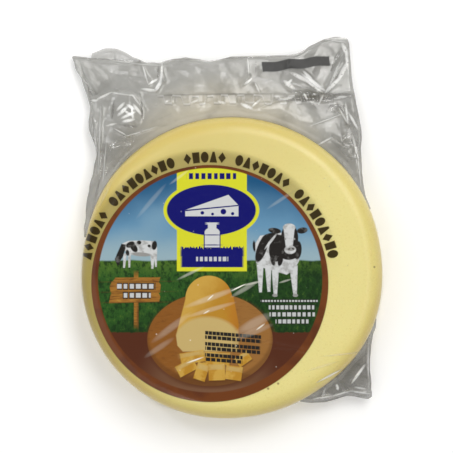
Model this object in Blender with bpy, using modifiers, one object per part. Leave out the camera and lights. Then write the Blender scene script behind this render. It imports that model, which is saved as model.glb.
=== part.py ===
"""A round slice of smoked provolone sealed in a clear, shrunk bag.

The slice lies flat, centred on the world's Z axis. The bag rests on the
ground at Z = 0 on its flat back web, with its front web up. It hugs the
slice, and stands out from it as a loose skirt: a wide one along +Y, which
ends in the bag's open mouth, and a small ear at the lower right.
"""

import math

import bmesh
import bpy
from mathutils import Vector

MM = 0.001

OBJECT_NAME = "bagged_provolone_slice"

# The slice of cheese. It isn't quite round: each swell is a soft bump on
# the rim, as (direction in degrees, height, half width in degrees).
CHEESE_RADIUS = 74.9 * MM
CHEESE_THICKNESS = 30 * MM
RIM_ROUNDING = 8.5 * MM
RIM_SWELLS = (
    (168, -0.8 * MM, 14),
    (229, 2.0 * MM, 30),
    (335, 1.7 * MM, 18),
)
CHEESE_SEGMENTS = 72
ROUNDING_STEPS = 4

# The bag's film, thicker than real film so that it can be a solid.
FILM_THICKNESS = 0.5 * MM
FILM_GAP = 0.3 * MM
SKIRT_THICKNESS = 1.8 * MM
SEAM_HEIGHT = 13 * MM
SEAM_WIDTH = 1 * MM
FRONT_FILLET = 6 * MM
BACK_FILLET = 2.5 * MM
FILLET_SHARE = 0.5
FILLET_STEPS = 2
SKIRT_STEPS = 3

# The skirt hangs from the seam's height at the cheese towards the ground.
DROOP = 9.5 * MM
DROOP_WIDTH = 42 * MM
RIPPLE_HEIGHT = 1.1 * MM
RIPPLES = 9

# The skirts' outlines in millimetres, anticlockwise. Each starts and ends
# at the cheese's rim.
UPPER_SKIRT = (
    (69.5, 31),
    (67.1, 39.7),
    (65.4, 50),
    (65.5, 68.7),
    (62.8, 86),
    (60, 103),
    (59.1, 114),
    (57.6, 116.2),
    (46.4, 114.9),
    (37.5, 109.9),
    (28.8, 107),
    (0, 106.2),
    (-11.7, 103.8),
    (-23.2, 105.4),
    (-45.7, 103.3),
    (-63, 105.2),
    (-80.5, 106.7),
    (-74.8, 91),
    (-71.3, 79.4),
    (-71.8, 70),
    (-67.9, 58.4),
    (-71.1, 40),
    (-75.1, 16),
)
LOWER_RIGHT_EAR = (
    (36.5, -68.2),
    (47.6, -67.9),
    (54.8, -65.9),
    (62.1, -65.2),
    (68.6, -66.4),
    (70.7, -64.4),
    (70.6, -58.4),
    (69.8, -46.9),
    (72.9, -29.7),
)
LONGEST_EDGE = 9.5 * MM
ARC_STEP = math.radians(6)

# The mouth lies between these points of the upper skirt. Its back web
# reaches past its front web in one low bulge near the left corner.
MOUTH_FIRST = (57.6, 116.2)
MOUTH_LAST = (-80.5, 106.7)
LIP_CENTRE = -60 * MM
LIP_HALF_WIDTH = 19 * MM
LIP_RISE = 5.6 * MM

CHEESE_COLOUR = (0.80, 0.70, 0.30, 1)
FILM_COLOUR = (0.47, 0.45, 0.40, 0.35)


def smooth_bump(offset, half_width):
    """One at the middle, falling to nothing at half_width either side."""
    if abs(offset) >= half_width:
        return 0.0
    return 0.5 + 0.5 * math.cos(math.pi * offset / half_width)


def rim_radius(angle):
    """The slice's radius in one direction, given in radians."""
    degrees = math.degrees(angle)
    radius = CHEESE_RADIUS
    for direction, height, half_width in RIM_SWELLS:
        offset = (degrees - direction + 180) % 360 - 180
        radius += height * smooth_bump(offset, 2 * half_width)
    return radius


def principled(name, colour, roughness, metallic=0.0):
    """A material with one Principled shader."""
    material = bpy.data.materials.new(name)
    material.use_nodes = True
    shader = material.node_tree.nodes["Principled BSDF"]
    shader.inputs["Base Color"].default_value = colour
    shader.inputs["Alpha"].default_value = colour[3]
    shader.inputs["Roughness"].default_value = roughness
    shader.inputs["Metallic"].default_value = metallic
    material.diffuse_color = colour
    return material


def add_piece(bm, name, material, collection):
    """Turns a bmesh into a smoothly shaded object of the collection."""
    bmesh.ops.recalc_face_normals(bm, faces=bm.faces)
    for face in bm.faces:
        face.smooth = True
    mesh = bpy.data.meshes.new(name)
    bm.to_mesh(mesh)
    bm.free()
    mesh.materials.append(material)
    piece = bpy.data.objects.new(name, mesh)
    collection.objects.link(piece)
    return piece


def make_cheese(collection):
    """The slice: a drum, swollen here and there, with both rims rounded."""
    bm = bmesh.new()
    bmesh.ops.create_cone(
        bm,
        cap_ends=True,
        segments=CHEESE_SEGMENTS,
        radius1=CHEESE_RADIUS,
        radius2=CHEESE_RADIUS,
        depth=CHEESE_THICKNESS,
    )
    for vertex in bm.verts:
        swollen = rim_radius(math.atan2(vertex.co.y, vertex.co.x))
        vertex.co.xy *= swollen / CHEESE_RADIUS
    cheese = add_piece(
        bm, "cheese", principled("cheese", CHEESE_COLOUR, 0.4), collection
    )
    cheese.location.z = (
        FILM_THICKNESS + FILM_GAP + CHEESE_THICKNESS / 2
    )
    rounding = cheese.modifiers.new("rim_rounding", "BEVEL")
    rounding.width = RIM_ROUNDING
    rounding.segments = ROUNDING_STEPS
    rounding.limit_method = "ANGLE"
    rounding.angle_limit = math.radians(60)
    return cheese


def evenly_spaced(corners):
    """The corners, with points added on each side longer than LONGEST_EDGE."""
    points = [Vector(corners[0]) * MM]
    for start, end in zip(corners, corners[1:]):
        start, end = Vector(start) * MM, Vector(end) * MM
        steps = math.ceil((end - start).length / LONGEST_EDGE)
        points += [start.lerp(end, i / steps) for i in range(1, steps + 1)]
    return points


def hugging_arc(start, end):
    """Points beside the rim, anticlockwise between two outline points."""
    first = math.atan2(start.y, start.x)
    turn = (math.atan2(end.y, end.x) - first) % math.tau
    steps = math.ceil(turn / ARC_STEP)
    points = []
    for i in range(1, steps):
        angle = first + turn * i / steps
        reach = film_radius(angle) + SEAM_WIDTH
        points.append(Vector((reach * math.cos(angle), reach * math.sin(angle))))
    return points


def film_radius(angle):
    """How far from the axis the film's outside lies on the cheese's wall."""
    return rim_radius(angle) + FILM_GAP + FILM_THICKNESS


def bag_outline():
    """The bag's edge seen from above, anticlockwise."""
    upper = evenly_spaced(UPPER_SKIRT)
    ear = evenly_spaced(LOWER_RIGHT_EAR)
    return upper + hugging_arc(upper[-1], ear[0]) + ear + hugging_arc(ear[-1], upper[0])


def lip_rise(point):
    """How far the back web reaches past the front web at the mouth."""
    return LIP_RISE * smooth_bump(point.x - LIP_CENTRE, LIP_HALF_WIDTH)


class Spoke:
    """One section through the bag, from the axis out to the outline."""

    def __init__(self, point, in_mouth):
        self.angle = math.atan2(point.y, point.x)
        self.wall = film_radius(self.angle)
        self.reach = max(point.length, self.wall + SEAM_WIDTH)
        self.in_mouth = in_mouth
        rise = lip_rise(point) if in_mouth else 0.0
        self.back_reach = self.reach + rise

    def at(self, radius, height):
        """A point of this section."""
        return Vector(
            (radius * math.cos(self.angle), radius * math.sin(self.angle), height)
        )

    def skirt_height(self, radius):
        """The height of the skirt's middle at this distance from the axis."""
        width = radius - self.wall
        droop = DROOP * min(1.0, width / DROOP_WIDTH)
        ripple = RIPPLE_HEIGHT * math.sin(RIPPLES * self.angle)
        return SEAM_HEIGHT - droop + ripple * min(1.0, width / DROOP_WIDTH)

    def rounding(self, turn_from, turn_to, height):
        """The film round one rim of the cheese, from one turn to another."""
        radius = RIM_ROUNDING + FILM_GAP + FILM_THICKNESS
        centre = self.wall - radius
        for i in range(ROUNDING_STEPS + 1):
            turn = turn_from + (turn_to - turn_from) * i / ROUNDING_STEPS
            yield self.at(
                centre + radius * math.cos(turn), height + radius * math.sin(turn)
            )

    def web(self, side, reach, fillet):
        """One web of the skirt, from the wall outwards. Side is 1 or -1."""
        lift = side * SKIRT_THICKNESS / 2
        fillet = min(fillet, FILLET_SHARE * (reach - self.wall))
        for i in range(FILLET_STEPS):
            turn = 0.5 * math.pi * i / FILLET_STEPS
            radius = self.wall + fillet * (1 - math.cos(turn))
            above = side * fillet * (1 - math.sin(turn))
            yield self.at(radius, self.skirt_height(radius) + lift + above)
        for i in range(SKIRT_STEPS + 1):
            share = i / SKIRT_STEPS
            radius = self.wall + fillet + (reach - self.wall - fillet) * share
            yield self.at(radius, self.skirt_height(radius) + lift)

    def section(self):
        """The whole section, from the top's edge round to the bottom's."""
        radius = RIM_ROUNDING + FILM_GAP + FILM_THICKNESS
        top = CHEESE_THICKNESS + 2 * (FILM_GAP + FILM_THICKNESS)
        quarter = 0.5 * math.pi
        front = list(self.web(1, self.reach, FRONT_FILLET))
        back = list(self.web(-1, self.back_reach, BACK_FILLET))
        return (
            list(self.rounding(quarter, 0, top - radius))
            + front
            + back[::-1]
            + list(self.rounding(0, -quarter, radius))
        )


def in_mouth(point):
    """Whether an outline point lies on the mouth, its ends included."""
    first, last = Vector(MOUTH_FIRST) * MM, Vector(MOUTH_LAST) * MM
    level = min(first.y, last.y) - LIP_RISE
    return last.x <= point.x <= first.x and point.y > level


def make_bag(collection):
    """The bag: a lofted pouch, open at its mouth, given its thickness."""
    spokes = [Spoke(point, in_mouth(point)) for point in bag_outline()]
    bm = bmesh.new()
    sections = [[bm.verts.new(point) for point in spoke.section()] for spoke in spokes]
    edge = len(sections[0]) // 2 - 1
    for spoke, section, next_spoke, next_section in zip(
        spokes, sections, spokes[1:] + spokes[:1], sections[1:] + sections[:1]
    ):
        open_here = spoke.in_mouth and next_spoke.in_mouth
        for row in range(len(section) - 1):
            if open_here and row == edge:
                continue
            bm.faces.new(
                (section[row], section[row + 1], next_section[row + 1], next_section[row])
            )
    bm.faces.new([section[0] for section in sections])
    bm.faces.new([section[-1] for section in reversed(sections)])
    bag = add_piece(bm, "bag", principled("film", FILM_COLOUR, 0.15), collection)
    film = bag.modifiers.new("film", "SOLIDIFY")
    film.thickness = FILM_THICKNESS
    film.offset = -1
    film.use_even_offset = True
    return bag


def main():
    """Clears the scene and models the slice and its bag."""
    for old in list(bpy.data.objects):
        bpy.data.objects.remove(old, do_unlink=True)
    collection = bpy.data.collections.new(OBJECT_NAME)
    bpy.context.scene.collection.children.link(collection)
    make_cheese(collection)
    make_bag(collection)


main()
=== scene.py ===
"""The looks of a round slice of smoked provolone sealed in a clear, shrunk bag.

The slice lies flat with the bag's printed front up. Four pieces stand for the
two solids of the frame: the slice, the film that hugs it and carries the
print, the bag's wide loose top, and its small loose corner.
"""

import logging
import math
from dataclasses import dataclass, field
from enum import Enum
from typing import Any, Callable, Iterable, Optional, Sequence, Union

import bmesh
import bpy
import numpy as np
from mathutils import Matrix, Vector


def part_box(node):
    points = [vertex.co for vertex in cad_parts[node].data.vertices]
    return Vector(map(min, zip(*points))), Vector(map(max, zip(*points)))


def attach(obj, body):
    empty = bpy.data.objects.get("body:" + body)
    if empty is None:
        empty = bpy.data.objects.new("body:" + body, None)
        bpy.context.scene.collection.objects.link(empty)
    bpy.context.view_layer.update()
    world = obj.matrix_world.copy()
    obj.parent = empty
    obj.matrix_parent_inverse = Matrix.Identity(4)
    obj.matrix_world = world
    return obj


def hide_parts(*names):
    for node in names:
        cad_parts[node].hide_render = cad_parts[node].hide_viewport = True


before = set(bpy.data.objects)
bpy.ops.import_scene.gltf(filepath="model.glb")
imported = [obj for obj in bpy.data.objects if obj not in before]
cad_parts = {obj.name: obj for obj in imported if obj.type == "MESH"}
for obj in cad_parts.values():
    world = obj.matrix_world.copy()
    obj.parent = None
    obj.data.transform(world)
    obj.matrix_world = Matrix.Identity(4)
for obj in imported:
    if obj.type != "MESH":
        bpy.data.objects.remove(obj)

LOG = logging.getLogger("bagged_provolone")

MM = 0.001
BODY = "root"

Colour = tuple[float, float, float, float]
Point = tuple[float, float]


def srgb(red: int, green: int, blue: int) -> Colour:
    """Turns display values from 0 to 255 into a linear colour.

    Args:
        red: The red value.
        green: The green value.
        blue: The blue value.

    Returns:
        The colour as linear red, green, blue and an alpha of one.
    """

    def linear(value: int) -> float:
        """One display value made linear."""
        share = value / 255
        return share / 12.92 if share <= 0.04045 else ((share + 0.055) / 1.055) ** 2.4

    return (linear(red), linear(green), linear(blue), 1.0)


# --------------------------------------------------------------------------
# Shader maths
# --------------------------------------------------------------------------


class Graph:
    """One material's nodes, added one at a time."""

    def __init__(self, name: str) -> None:
        """Starts a material with a Principled shader.

        Args:
            name: The material's name.
        """
        self.material = bpy.data.materials.new(name)
        self.material.use_nodes = True
        self.tree = self.material.node_tree
        self.principled = self.tree.nodes["Principled BSDF"]

    def add(
        self, kind: str, settings: Optional[dict[str, Any]] = None,
        sockets: Optional[dict[Union[int, str], Any]] = None,
    ) -> bpy.types.Node:
        """Adds one node, sets it up and links it.

        Args:
            kind: The node's type without its ShaderNode prefix.
            settings: Attributes of the node, set before its sockets.
            sockets: Values, Value objects or sockets, by input index or name.

        Returns:
            The node.
        """
        node = self.tree.nodes.new("ShaderNode" + kind)
        for key, setting in (settings or {}).items():
            setattr(node, key, setting)
        for key, given in (sockets or {}).items():
            source = given.socket if isinstance(given, Value) else given
            if isinstance(source, bpy.types.NodeSocket):
                self.tree.links.new(source, node.inputs[key])
            else:
                node.inputs[key].default_value = source
        return node

    def math(self, operation: str, *operands: "Number", clamp: bool = False) -> "Value":
        """Adds one Math node.

        Args:
            operation: The node's operation.
            operands: Its inputs in order.
            clamp: Whether the result is kept between zero and one.

        Returns:
            The result.
        """
        node = self.add(
            "Math", {"operation": operation, "use_clamp": clamp}, dict(enumerate(operands))
        )
        return Value(self, node.outputs[0])

    def vector(self, operation: str, *operands: Any) -> bpy.types.Node:
        """Adds one Vector Math node and returns it."""
        return self.add("VectorMath", {"operation": operation}, dict(enumerate(operands)))

    def mix(self, below: Any, above: Any, share: "Number") -> bpy.types.NodeSocket:
        """Lays one colour over another.

        Args:
            below: The colour where share is zero.
            above: The colour where share is one.
            share: The mask.

        Returns:
            The mixed colour's socket.
        """
        node = self.add(
            "Mix", {"data_type": "RGBA"}, {"Factor": share, 6: below, 7: above}
        )
        return node.outputs[2]

    def noise(
        self, place: Any, grain: float, detail: float = 2.0, roughness: float = 0.5,
        distortion: float = 0.0,
    ) -> "Value":
        """Adds a noise texture.

        Args:
            place: The place that the texture reads, in metres.
            grain: The size of its coarsest spots, in millimetres.
            detail: Its number of octaves.
            roughness: How strong the finer octaves are.
            distortion: How much it is warped.

        Returns:
            The noise, about one half on average.
        """
        node = self.add(
            "TexNoise", None,
            {
                "Vector": place, "Scale": 1 / (grain * MM), "Detail": detail,
                "Roughness": roughness, "Distortion": distortion,
            },
        )
        return Value(self, node.outputs[0])

    def feed(self, **sockets: Any) -> None:
        """Feeds the Principled shader's sockets, with _ in a name for a space.

        Args:
            sockets: Values, Value objects or sockets.
        """
        for key, given in sockets.items():
            target = self.principled.inputs[key.replace("_", " ")]
            source = given.socket if isinstance(given, Value) else given
            if isinstance(source, bpy.types.NodeSocket):
                self.tree.links.new(source, target)
            else:
                target.default_value = source

    def bump(self, height: "Value", distance: float, strength: float = 1.0) -> None:
        """Gives the surface a relief.

        Args:
            height: The relief, from zero to about one.
            distance: What a height of one measures, in metres.
            strength: The relief's share.
        """
        node = self.add(
            "Bump", None, {"Height": height, "Distance": distance, "Strength": strength}
        )
        self.feed(Normal=node.outputs[0])


class Value:
    """A number that varies over a surface, with the operators that the looks need."""

    def __init__(self, graph: Graph, socket: bpy.types.NodeSocket) -> None:
        """Wraps a socket.

        Args:
            graph: The graph that the socket belongs to.
            socket: The socket that gives the number.
        """
        self.graph = graph
        self.socket = socket

    def __add__(self, other: "Number") -> "Value":
        """The sum."""
        return self.graph.math("ADD", self, other)

    def __radd__(self, other: float) -> "Value":
        """The sum with a plain number first."""
        return self.graph.math("ADD", other, self)

    def __sub__(self, other: "Number") -> "Value":
        """The difference."""
        return self.graph.math("SUBTRACT", self, other)

    def __mul__(self, other: "Number") -> "Value":
        """The product."""
        return self.graph.math("MULTIPLY", self, other)

    def __truediv__(self, other: "Number") -> "Value":
        """The quotient."""
        return self.graph.math("DIVIDE", self, other)

    def __abs__(self) -> "Value":
        """The size without its sign."""
        return self.graph.math("ABSOLUTE", self)

    def at_least(self, other: "Number") -> "Value":
        """The greater of the two."""
        return self.graph.math("MAXIMUM", self, other)

    def at_most(self, other: "Number") -> "Value":
        """The lesser of the two."""
        return self.graph.math("MINIMUM", self, other)

    def ramp(self, low: float, high: float) -> "Value":
        """A smooth rise from zero at low to one at high, which may be below low."""
        node = self.graph.add(
            "MapRange", {"interpolation_type": "SMOOTHSTEP"},
            {"Value": self, "From Min": low, "From Max": high},
        )
        return Value(self.graph, node.outputs[0])

    def below(self, edge: float, softness: float) -> "Value":
        """A mask of where the value is under an edge."""
        return self.graph.math(
            "MULTIPLY_ADD", self, -1 / softness, 0.5 + edge / softness, clamp=True
        )

    def above(self, edge: float, softness: float) -> "Value":
        """A mask of where the value is over an edge."""
        return self.graph.math(
            "MULTIPLY_ADD", self, 1 / softness, 0.5 - edge / softness, clamp=True
        )


Number = Union[float, Value]


class Plan:
    """A surface seen from above, in millimetres about the slice's centre.

    Noise reads the place in metres straight from its node, and shapes read
    the plain numbers, which keeps the number of values held at once small.
    """

    SOFTNESS = 0.3

    def __init__(self, graph: Graph) -> None:
        """Reads the piece's own coordinates.

        Args:
            graph: The graph that the plan's nodes go into.
        """
        self.graph = graph
        self.place = graph.add("TexCoord").outputs["Object"]
        parts = graph.add("SeparateXYZ", None, {0: self.place})
        self.x = Value(graph, parts.outputs[0]) / MM
        self.y = Value(graph, parts.outputs[1]) / MM
        self.z = Value(graph, parts.outputs[2]) / MM
        self.flat = graph.add("CombineXYZ", None, {0: self.x, 1: self.y}).outputs[0]

    def stretched(self, scale: Point, turn: float = 0.0) -> bpy.types.NodeSocket:
        """The place in metres, stretched and turned for a noise with a grain.

        Args:
            scale: How much finer the noise gets along X and Y.
            turn: The grain's turn in degrees.

        Returns:
            The place's socket.
        """
        node = self.graph.add(
            "Mapping", None,
            {
                "Vector": self.place, "Rotation": (0.0, 0.0, math.radians(turn)),
                "Scale": (*scale, 1.0),
            },
        )
        return node.outputs[0]

    def distance(self, centre: Point) -> Value:
        """How far a point lies from a centre."""
        node = self.graph.vector("DISTANCE", self.flat, (*centre, 0.0))
        return Value(self.graph, node.outputs["Value"])

    def along(self, centre: Point, turn: float, size: float) -> Value:
        """The place along a turned axis through a centre, as a share of a size.

        Args:
            centre: Where the share is zero.
            turn: The axis's turn in degrees, anticlockwise from X.
            size: The length that makes a share of one.

        Returns:
            The share.
        """
        way = (math.cos(math.radians(turn)) / size, math.sin(math.radians(turn)) / size)
        start = way[0] * centre[0] + way[1] * centre[1]
        if abs(math.sin(math.radians(turn))) < 1e-9:
            return self.graph.math("MULTIPLY_ADD", self.x, way[0], -start)
        if abs(math.cos(math.radians(turn))) < 1e-9:
            return self.graph.math("MULTIPLY_ADD", self.y, way[1], -start)
        node = self.graph.vector("DOT_PRODUCT", self.flat, (*way, 0.0))
        return Value(self.graph, node.outputs["Value"]) - start

    def local(self, centre: Point, size: Point, turn: float = 0.0) -> tuple[Value, Value]:
        """The place as shares of a shape's half sizes, across and up.

        Args:
            centre: The shape's centre.
            size: Its half width and half height.
            turn: Its turn in degrees, anticlockwise.

        Returns:
            Both shares.
        """
        return self.along(centre, turn, size[0]), self.along(centre, turn + 90, size[1])

    def disc(self, centre: Point, radius: float, softness: float = SOFTNESS) -> Value:
        """A mask of a disc."""
        return self.distance(centre).below(radius, softness)

    def oval(
        self, centre: Point, size: Point, turn: float = 0.0, softness: float = SOFTNESS
    ) -> Value:
        """A mask of an ellipse.

        Args:
            centre: Its centre.
            size: Its half width and half height.
            turn: Its turn in degrees, anticlockwise.
            softness: The width of its soft edge.

        Returns:
            The mask.
        """
        across, up = self.local(centre, size, turn)
        squared = self.graph.math("MULTIPLY_ADD", up, up, across * across)
        return squared.below(1.0, 2 * softness / min(size))

    def box(
        self, centre: Point, size: Point, turn: float = 0.0, softness: float = SOFTNESS
    ) -> Value:
        """A mask of a rectangle.

        Args:
            centre: Its centre.
            size: Its half width and half height.
            turn: Its turn in degrees, anticlockwise.
            softness: The width of its soft edge.

        Returns:
            The mask.
        """
        across, up = self.local(centre, size, turn)
        return abs(across).at_least(abs(up)).below(1.0, softness / min(size))

    def side_of(self, start: Point, end: Point) -> Value:
        """The distance from a line, above zero on the left of its way."""
        run = Vector(end) - Vector(start)
        normal = Vector((-run.y, run.x)).normalized()
        node = self.graph.vector("DOT_PRODUCT", self.flat, (normal.x, normal.y, 0.0))
        return Value(self.graph, node.outputs["Value"]) - normal.dot(Vector(start))

    def polygon(self, corners: Sequence[Point], softness: float = SOFTNESS) -> Value:
        """A mask of a polygon with no hollow side, its corners anticlockwise."""
        sides = zip(corners, tuple(corners[1:]) + (corners[0],))
        depth: Optional[Value] = None
        for start, end in sides:
            side = self.side_of(start, end)
            depth = side if depth is None else depth.at_most(side)
        return depth.above(0.0, softness)


# --------------------------------------------------------------------------
# Shapes
# --------------------------------------------------------------------------


@dataclass(frozen=True)
class Swell:
    """A soft bump on the slice's rim."""

    direction: float
    height: float
    half_width: float


@dataclass(frozen=True)
class SliceShape:
    """The slice's own form, which the film follows."""

    radius: float = 75.1 * MM
    rounding: float = 8.5 * MM
    swells: tuple[Swell, ...] = (
        Swell(168, -0.8 * MM, 28),
        Swell(229, 2.0 * MM, 60),
        Swell(335, 1.7 * MM, 36),
    )
    unevenness: float = 0.25 * MM
    uneven_cell: float = 21 * MM
    uneven_seed: int = 5

    def rim(self, angle: np.ndarray) -> np.ndarray:
        """The slice's radius in each direction.

        Args:
            angle: Directions in radians.

        Returns:
            The radii in metres.
        """
        radius = np.full_like(angle, self.radius)
        for swell in self.swells:
            offset = (np.degrees(angle) - swell.direction + 180) % 360 - 180
            near = np.abs(offset) < swell.half_width
            radius += near * swell.height * (0.5 + 0.5 * np.cos(np.pi * offset / swell.half_width))
        return radius

    def sag(self, points: np.ndarray) -> np.ndarray:
        """How far the uneven top lies under its highest level, in metres.

        Args:
            points: Rows of X, Y and Z in metres.

        Returns:
            One depth for each row.
        """
        uneven = Field(self.uneven_seed).at(points[:, 0], points[:, 1], self.uneven_cell)
        return self.unevenness * (0.5 + 0.5 * uneven)


def rim_arc(radius: float, centre: Point, start: float, end: float, steps: int) -> list[Point]:
    """Points of an arc in a section, without its first point.

    Args:
        radius: The arc's radius.
        centre: Its centre, as distance from the axis and height.
        start: The first point's turn in degrees.
        end: The last point's turn in degrees.
        steps: How many points.

    Returns:
        The points.
    """
    turns = [math.radians(start + (end - start) * i / steps) for i in range(1, steps + 1)]
    return [
        (centre[0] + radius * math.cos(turn), centre[1] + radius * math.sin(turn))
        for turn in turns
    ]


def straight(start: Point, end: Point, steps: int) -> list[Point]:
    """Points of a straight run, without its first point."""
    return [
        (
            start[0] + (end[0] - start[0]) * i / steps,
            start[1] + (end[1] - start[1]) * i / steps,
        )
        for i in range(1, steps + 1)
    ]


def turned(profile: Sequence[Point], steps: int) -> bmesh.types.BMesh:
    """Spins a section round the Z axis into a closed body.

    Args:
        profile: Points as distance from the axis and height.
        steps: How many sides the body has.

    Returns:
        The body, facing outwards.
    """
    bm = bmesh.new()
    verts = [bm.verts.new((distance, 0.0, height)) for distance, height in profile]
    edges = [bm.edges.new(pair) for pair in zip(verts, verts[1:])]
    bmesh.ops.spin(
        bm, geom=verts + edges, axis=(0, 0, 1), cent=(0, 0, 0), angle=math.tau,
        steps=steps, use_merge=True,
    )
    bmesh.ops.remove_doubles(bm, verts=bm.verts, dist=1e-6)
    bmesh.ops.recalc_face_normals(bm, faces=bm.faces)
    return bm


def finished(
    bm: bmesh.types.BMesh, name: str, material: bpy.types.Material,
    shape: Callable[[np.ndarray], np.ndarray],
) -> bpy.types.Object:
    """Shapes a bmesh's points and turns it into a piece that rides the root.

    Args:
        bm: The bmesh, which is freed.
        name: The piece's name.
        material: Its material.
        shape: Takes the points as rows of X, Y and Z, and returns them moved.

    Returns:
        The piece.
    """
    for face in bm.faces:
        face.smooth = True
    mesh = bpy.data.meshes.new(name)
    bm.to_mesh(mesh)
    bm.free()
    points = np.empty(len(mesh.vertices) * 3)
    mesh.vertices.foreach_get("co", points)
    mesh.vertices.foreach_set("co", shape(points.reshape(-1, 3)).ravel())
    mesh.materials.append(material)
    mesh.update()
    piece = bpy.data.objects.new(name, mesh)
    bpy.context.scene.collection.objects.link(piece)
    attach(piece, BODY)
    triangles = sum(len(polygon.vertices) - 2 for polygon in mesh.polygons)
    LOG.info("%s: %d triangles", name, triangles)
    return piece


class Field:
    """Seeded smooth noise over the plan."""

    CELLS = 256

    def __init__(self, seed: int) -> None:
        """Draws the noise's lattice.

        Args:
            seed: The seed of its random numbers.
        """
        self.lattice = np.random.default_rng(seed).uniform(-1, 1, (self.CELLS, self.CELLS))

    def at(self, x: np.ndarray, y: np.ndarray, cell: float) -> np.ndarray:
        """The noise at some places.

        Args:
            x: Their X.
            y: Their Y.
            cell: The size of one lattice cell, in the same unit.

        Returns:
            Numbers from -1 to 1.
        """
        x, y = x / cell + self.CELLS / 2, y / cell + self.CELLS / 2
        column, row = np.floor(x).astype(int), np.floor(y).astype(int)
        x, y = x - column, y - row
        x, y = x * x * (3 - 2 * x), y * y * (3 - 2 * y)

        def corner(right: int, up: int) -> np.ndarray:
            """The lattice's number at one corner of each place's cell."""
            return self.lattice[(row + up) % self.CELLS, (column + right) % self.CELLS]

        low = corner(0, 0) * (1 - x) + corner(1, 0) * x
        high = corner(0, 1) * (1 - x) + corner(1, 1) * x
        return low * (1 - y) + high * y


@dataclass(frozen=True)
class Crease:
    """A fold in loose film along a line: a ridge, or a valley if it is below zero.

    Places are in millimetres. The fold fades over its length where fade is set.
    """

    start: Point
    end: Point
    height: float
    width: float = 1.2
    fade: float = 0.0

    def relief(self, x: np.ndarray, y: np.ndarray) -> np.ndarray:
        """The fold's height at places in millimetres, in millimetres."""
        run = np.subtract(self.end, self.start)
        along = ((x - self.start[0]) * run[0] + (y - self.start[1]) * run[1]) / (run @ run)
        along = np.clip(along, 0, 1)
        away = np.hypot(x - self.start[0] - along * run[0], y - self.start[1] - along * run[1])
        return self.height * (1 - self.fade * along) * np.exp(-away / self.width)


@dataclass(frozen=True)
class Pillow:
    """A blister of air in loose film, or a dent if it is below zero, in millimetres."""

    centre: Point
    size: Point
    height: float
    turn: float = 0.0

    def relief(self, x: np.ndarray, y: np.ndarray) -> np.ndarray:
        """The blister's height at places in millimetres, in millimetres."""
        turn = math.radians(self.turn)
        across, along = x - self.centre[0], y - self.centre[1]
        first = (across * math.cos(turn) + along * math.sin(turn)) / self.size[0]
        second = (along * math.cos(turn) - across * math.sin(turn)) / self.size[1]
        return self.height * np.clip(1 - first**2 - second**2, 0, None) ** 1.5


@dataclass(frozen=True)
class Crumple:
    """Flat facets that meet in sharp creases, as crumpled film has."""

    seed: int
    slope: float
    longest: float
    shortest: float
    folds: int = 7

    def relief(self, x: np.ndarray, y: np.ndarray) -> np.ndarray:
        """The facets' height at places in millimetres, in millimetres."""
        draw = np.random.default_rng(self.seed)
        warp = Field(self.seed)
        height = np.zeros_like(x)
        for fold in range(self.folds):
            share = fold / max(1, self.folds - 1)
            length = self.longest * (self.shortest / self.longest) ** share
            turn = draw.uniform(0, math.pi)
            shift = draw.uniform(0, 1)
            bend = 0.6 * warp.at(x + 37 * fold, y - 51 * fold, 1.1 * length)
            wave = (x * math.cos(turn) + y * math.sin(turn)) / length + shift + bend
            fading = 0.5 + 0.5 * warp.at(x - 29 * fold, y + 43 * fold, 1.7 * length)
            height += self.slope * length * fading * np.abs(wave % 1 - 0.5)
        return height


@dataclass(frozen=True)
class SealPockets:
    """The row of embossed pockets that the bag's seal leaves, in millimetres."""

    start: Point = (-37, 84.5)
    end: Point = (57, 85.5)
    pitch: float = 8.2
    depth: float = 5.6
    height: float = 0.75
    seed: int = 12

    def relief(self, x: np.ndarray, y: np.ndarray) -> np.ndarray:
        """The pockets' height at places in millimetres, in millimetres."""
        run = np.subtract(self.end, self.start)
        length = float(np.hypot(*run))
        run = run / length
        along = (x - self.start[0]) * run[0] + (y - self.start[1]) * run[1]
        up = (y - self.start[1]) * run[0] - (x - self.start[0]) * run[1]
        wander = Field(self.seed)
        along = along + 1.6 * wander.at(x, y, 11)
        up = up + 1.1 * wander.at(x, y - 70, 9)
        across = np.abs((along / self.pitch) % 1 - 0.5) * 2
        side = np.clip((1 - across) * self.pitch / 2 / 1.1, 0, 1)
        top = np.clip((self.depth / 2 - up) / 1.4, 0, 1)
        foot = np.clip((self.depth / 2 + up) / 1.0, 0, 1)
        ends = np.clip(along / 4, 0, 1) * np.clip((length - along) / 4, 0, 1)
        size = 0.75 + 0.45 * wander.at(x, y + 90, 13)
        return self.height * size * side * top * foot * ends


@dataclass
class CheeseSlice:
    """The slice of smoked provolone."""

    shape: SliceShape
    low: float
    high: float
    material: bpy.types.Material
    sides: int = 288

    def profile(self) -> list[Point]:
        """The slice's section, from the top's middle round to the bottom's."""
        radius, rounding = self.shape.radius, self.shape.rounding
        inner = radius - rounding
        points = [(0.0, self.high)]
        points += straight(points[-1], (inner, self.high), 24)
        points += rim_arc(rounding, (inner, self.high - rounding), 90, 0, 12)
        points += straight(points[-1], (radius, self.low + rounding), 8)
        points += rim_arc(rounding, (inner, self.low + rounding), 0, -90, 10)
        points += straight(points[-1], (0.0, self.low), 12)
        return points

    def swollen(self, points: np.ndarray) -> np.ndarray:
        """Gives the round body the slice's own outline and a slightly uneven skin."""
        angle = np.arctan2(points[:, 1], points[:, 0])
        points[:, :2] *= (self.shape.rim(angle) / self.shape.radius)[:, None]
        top = points[:, 2] > 0.5 * (self.low + self.high)
        points[:, 2] -= top * self.shape.sag(points)
        return points

    def build(self) -> bpy.types.Object:
        """Makes the piece, which stands for the frame's cheese."""
        body = turned(self.profile(), self.sides)
        piece = finished(body, "slice", self.material, self.swollen)
        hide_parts("cheese")
        return piece


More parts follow.
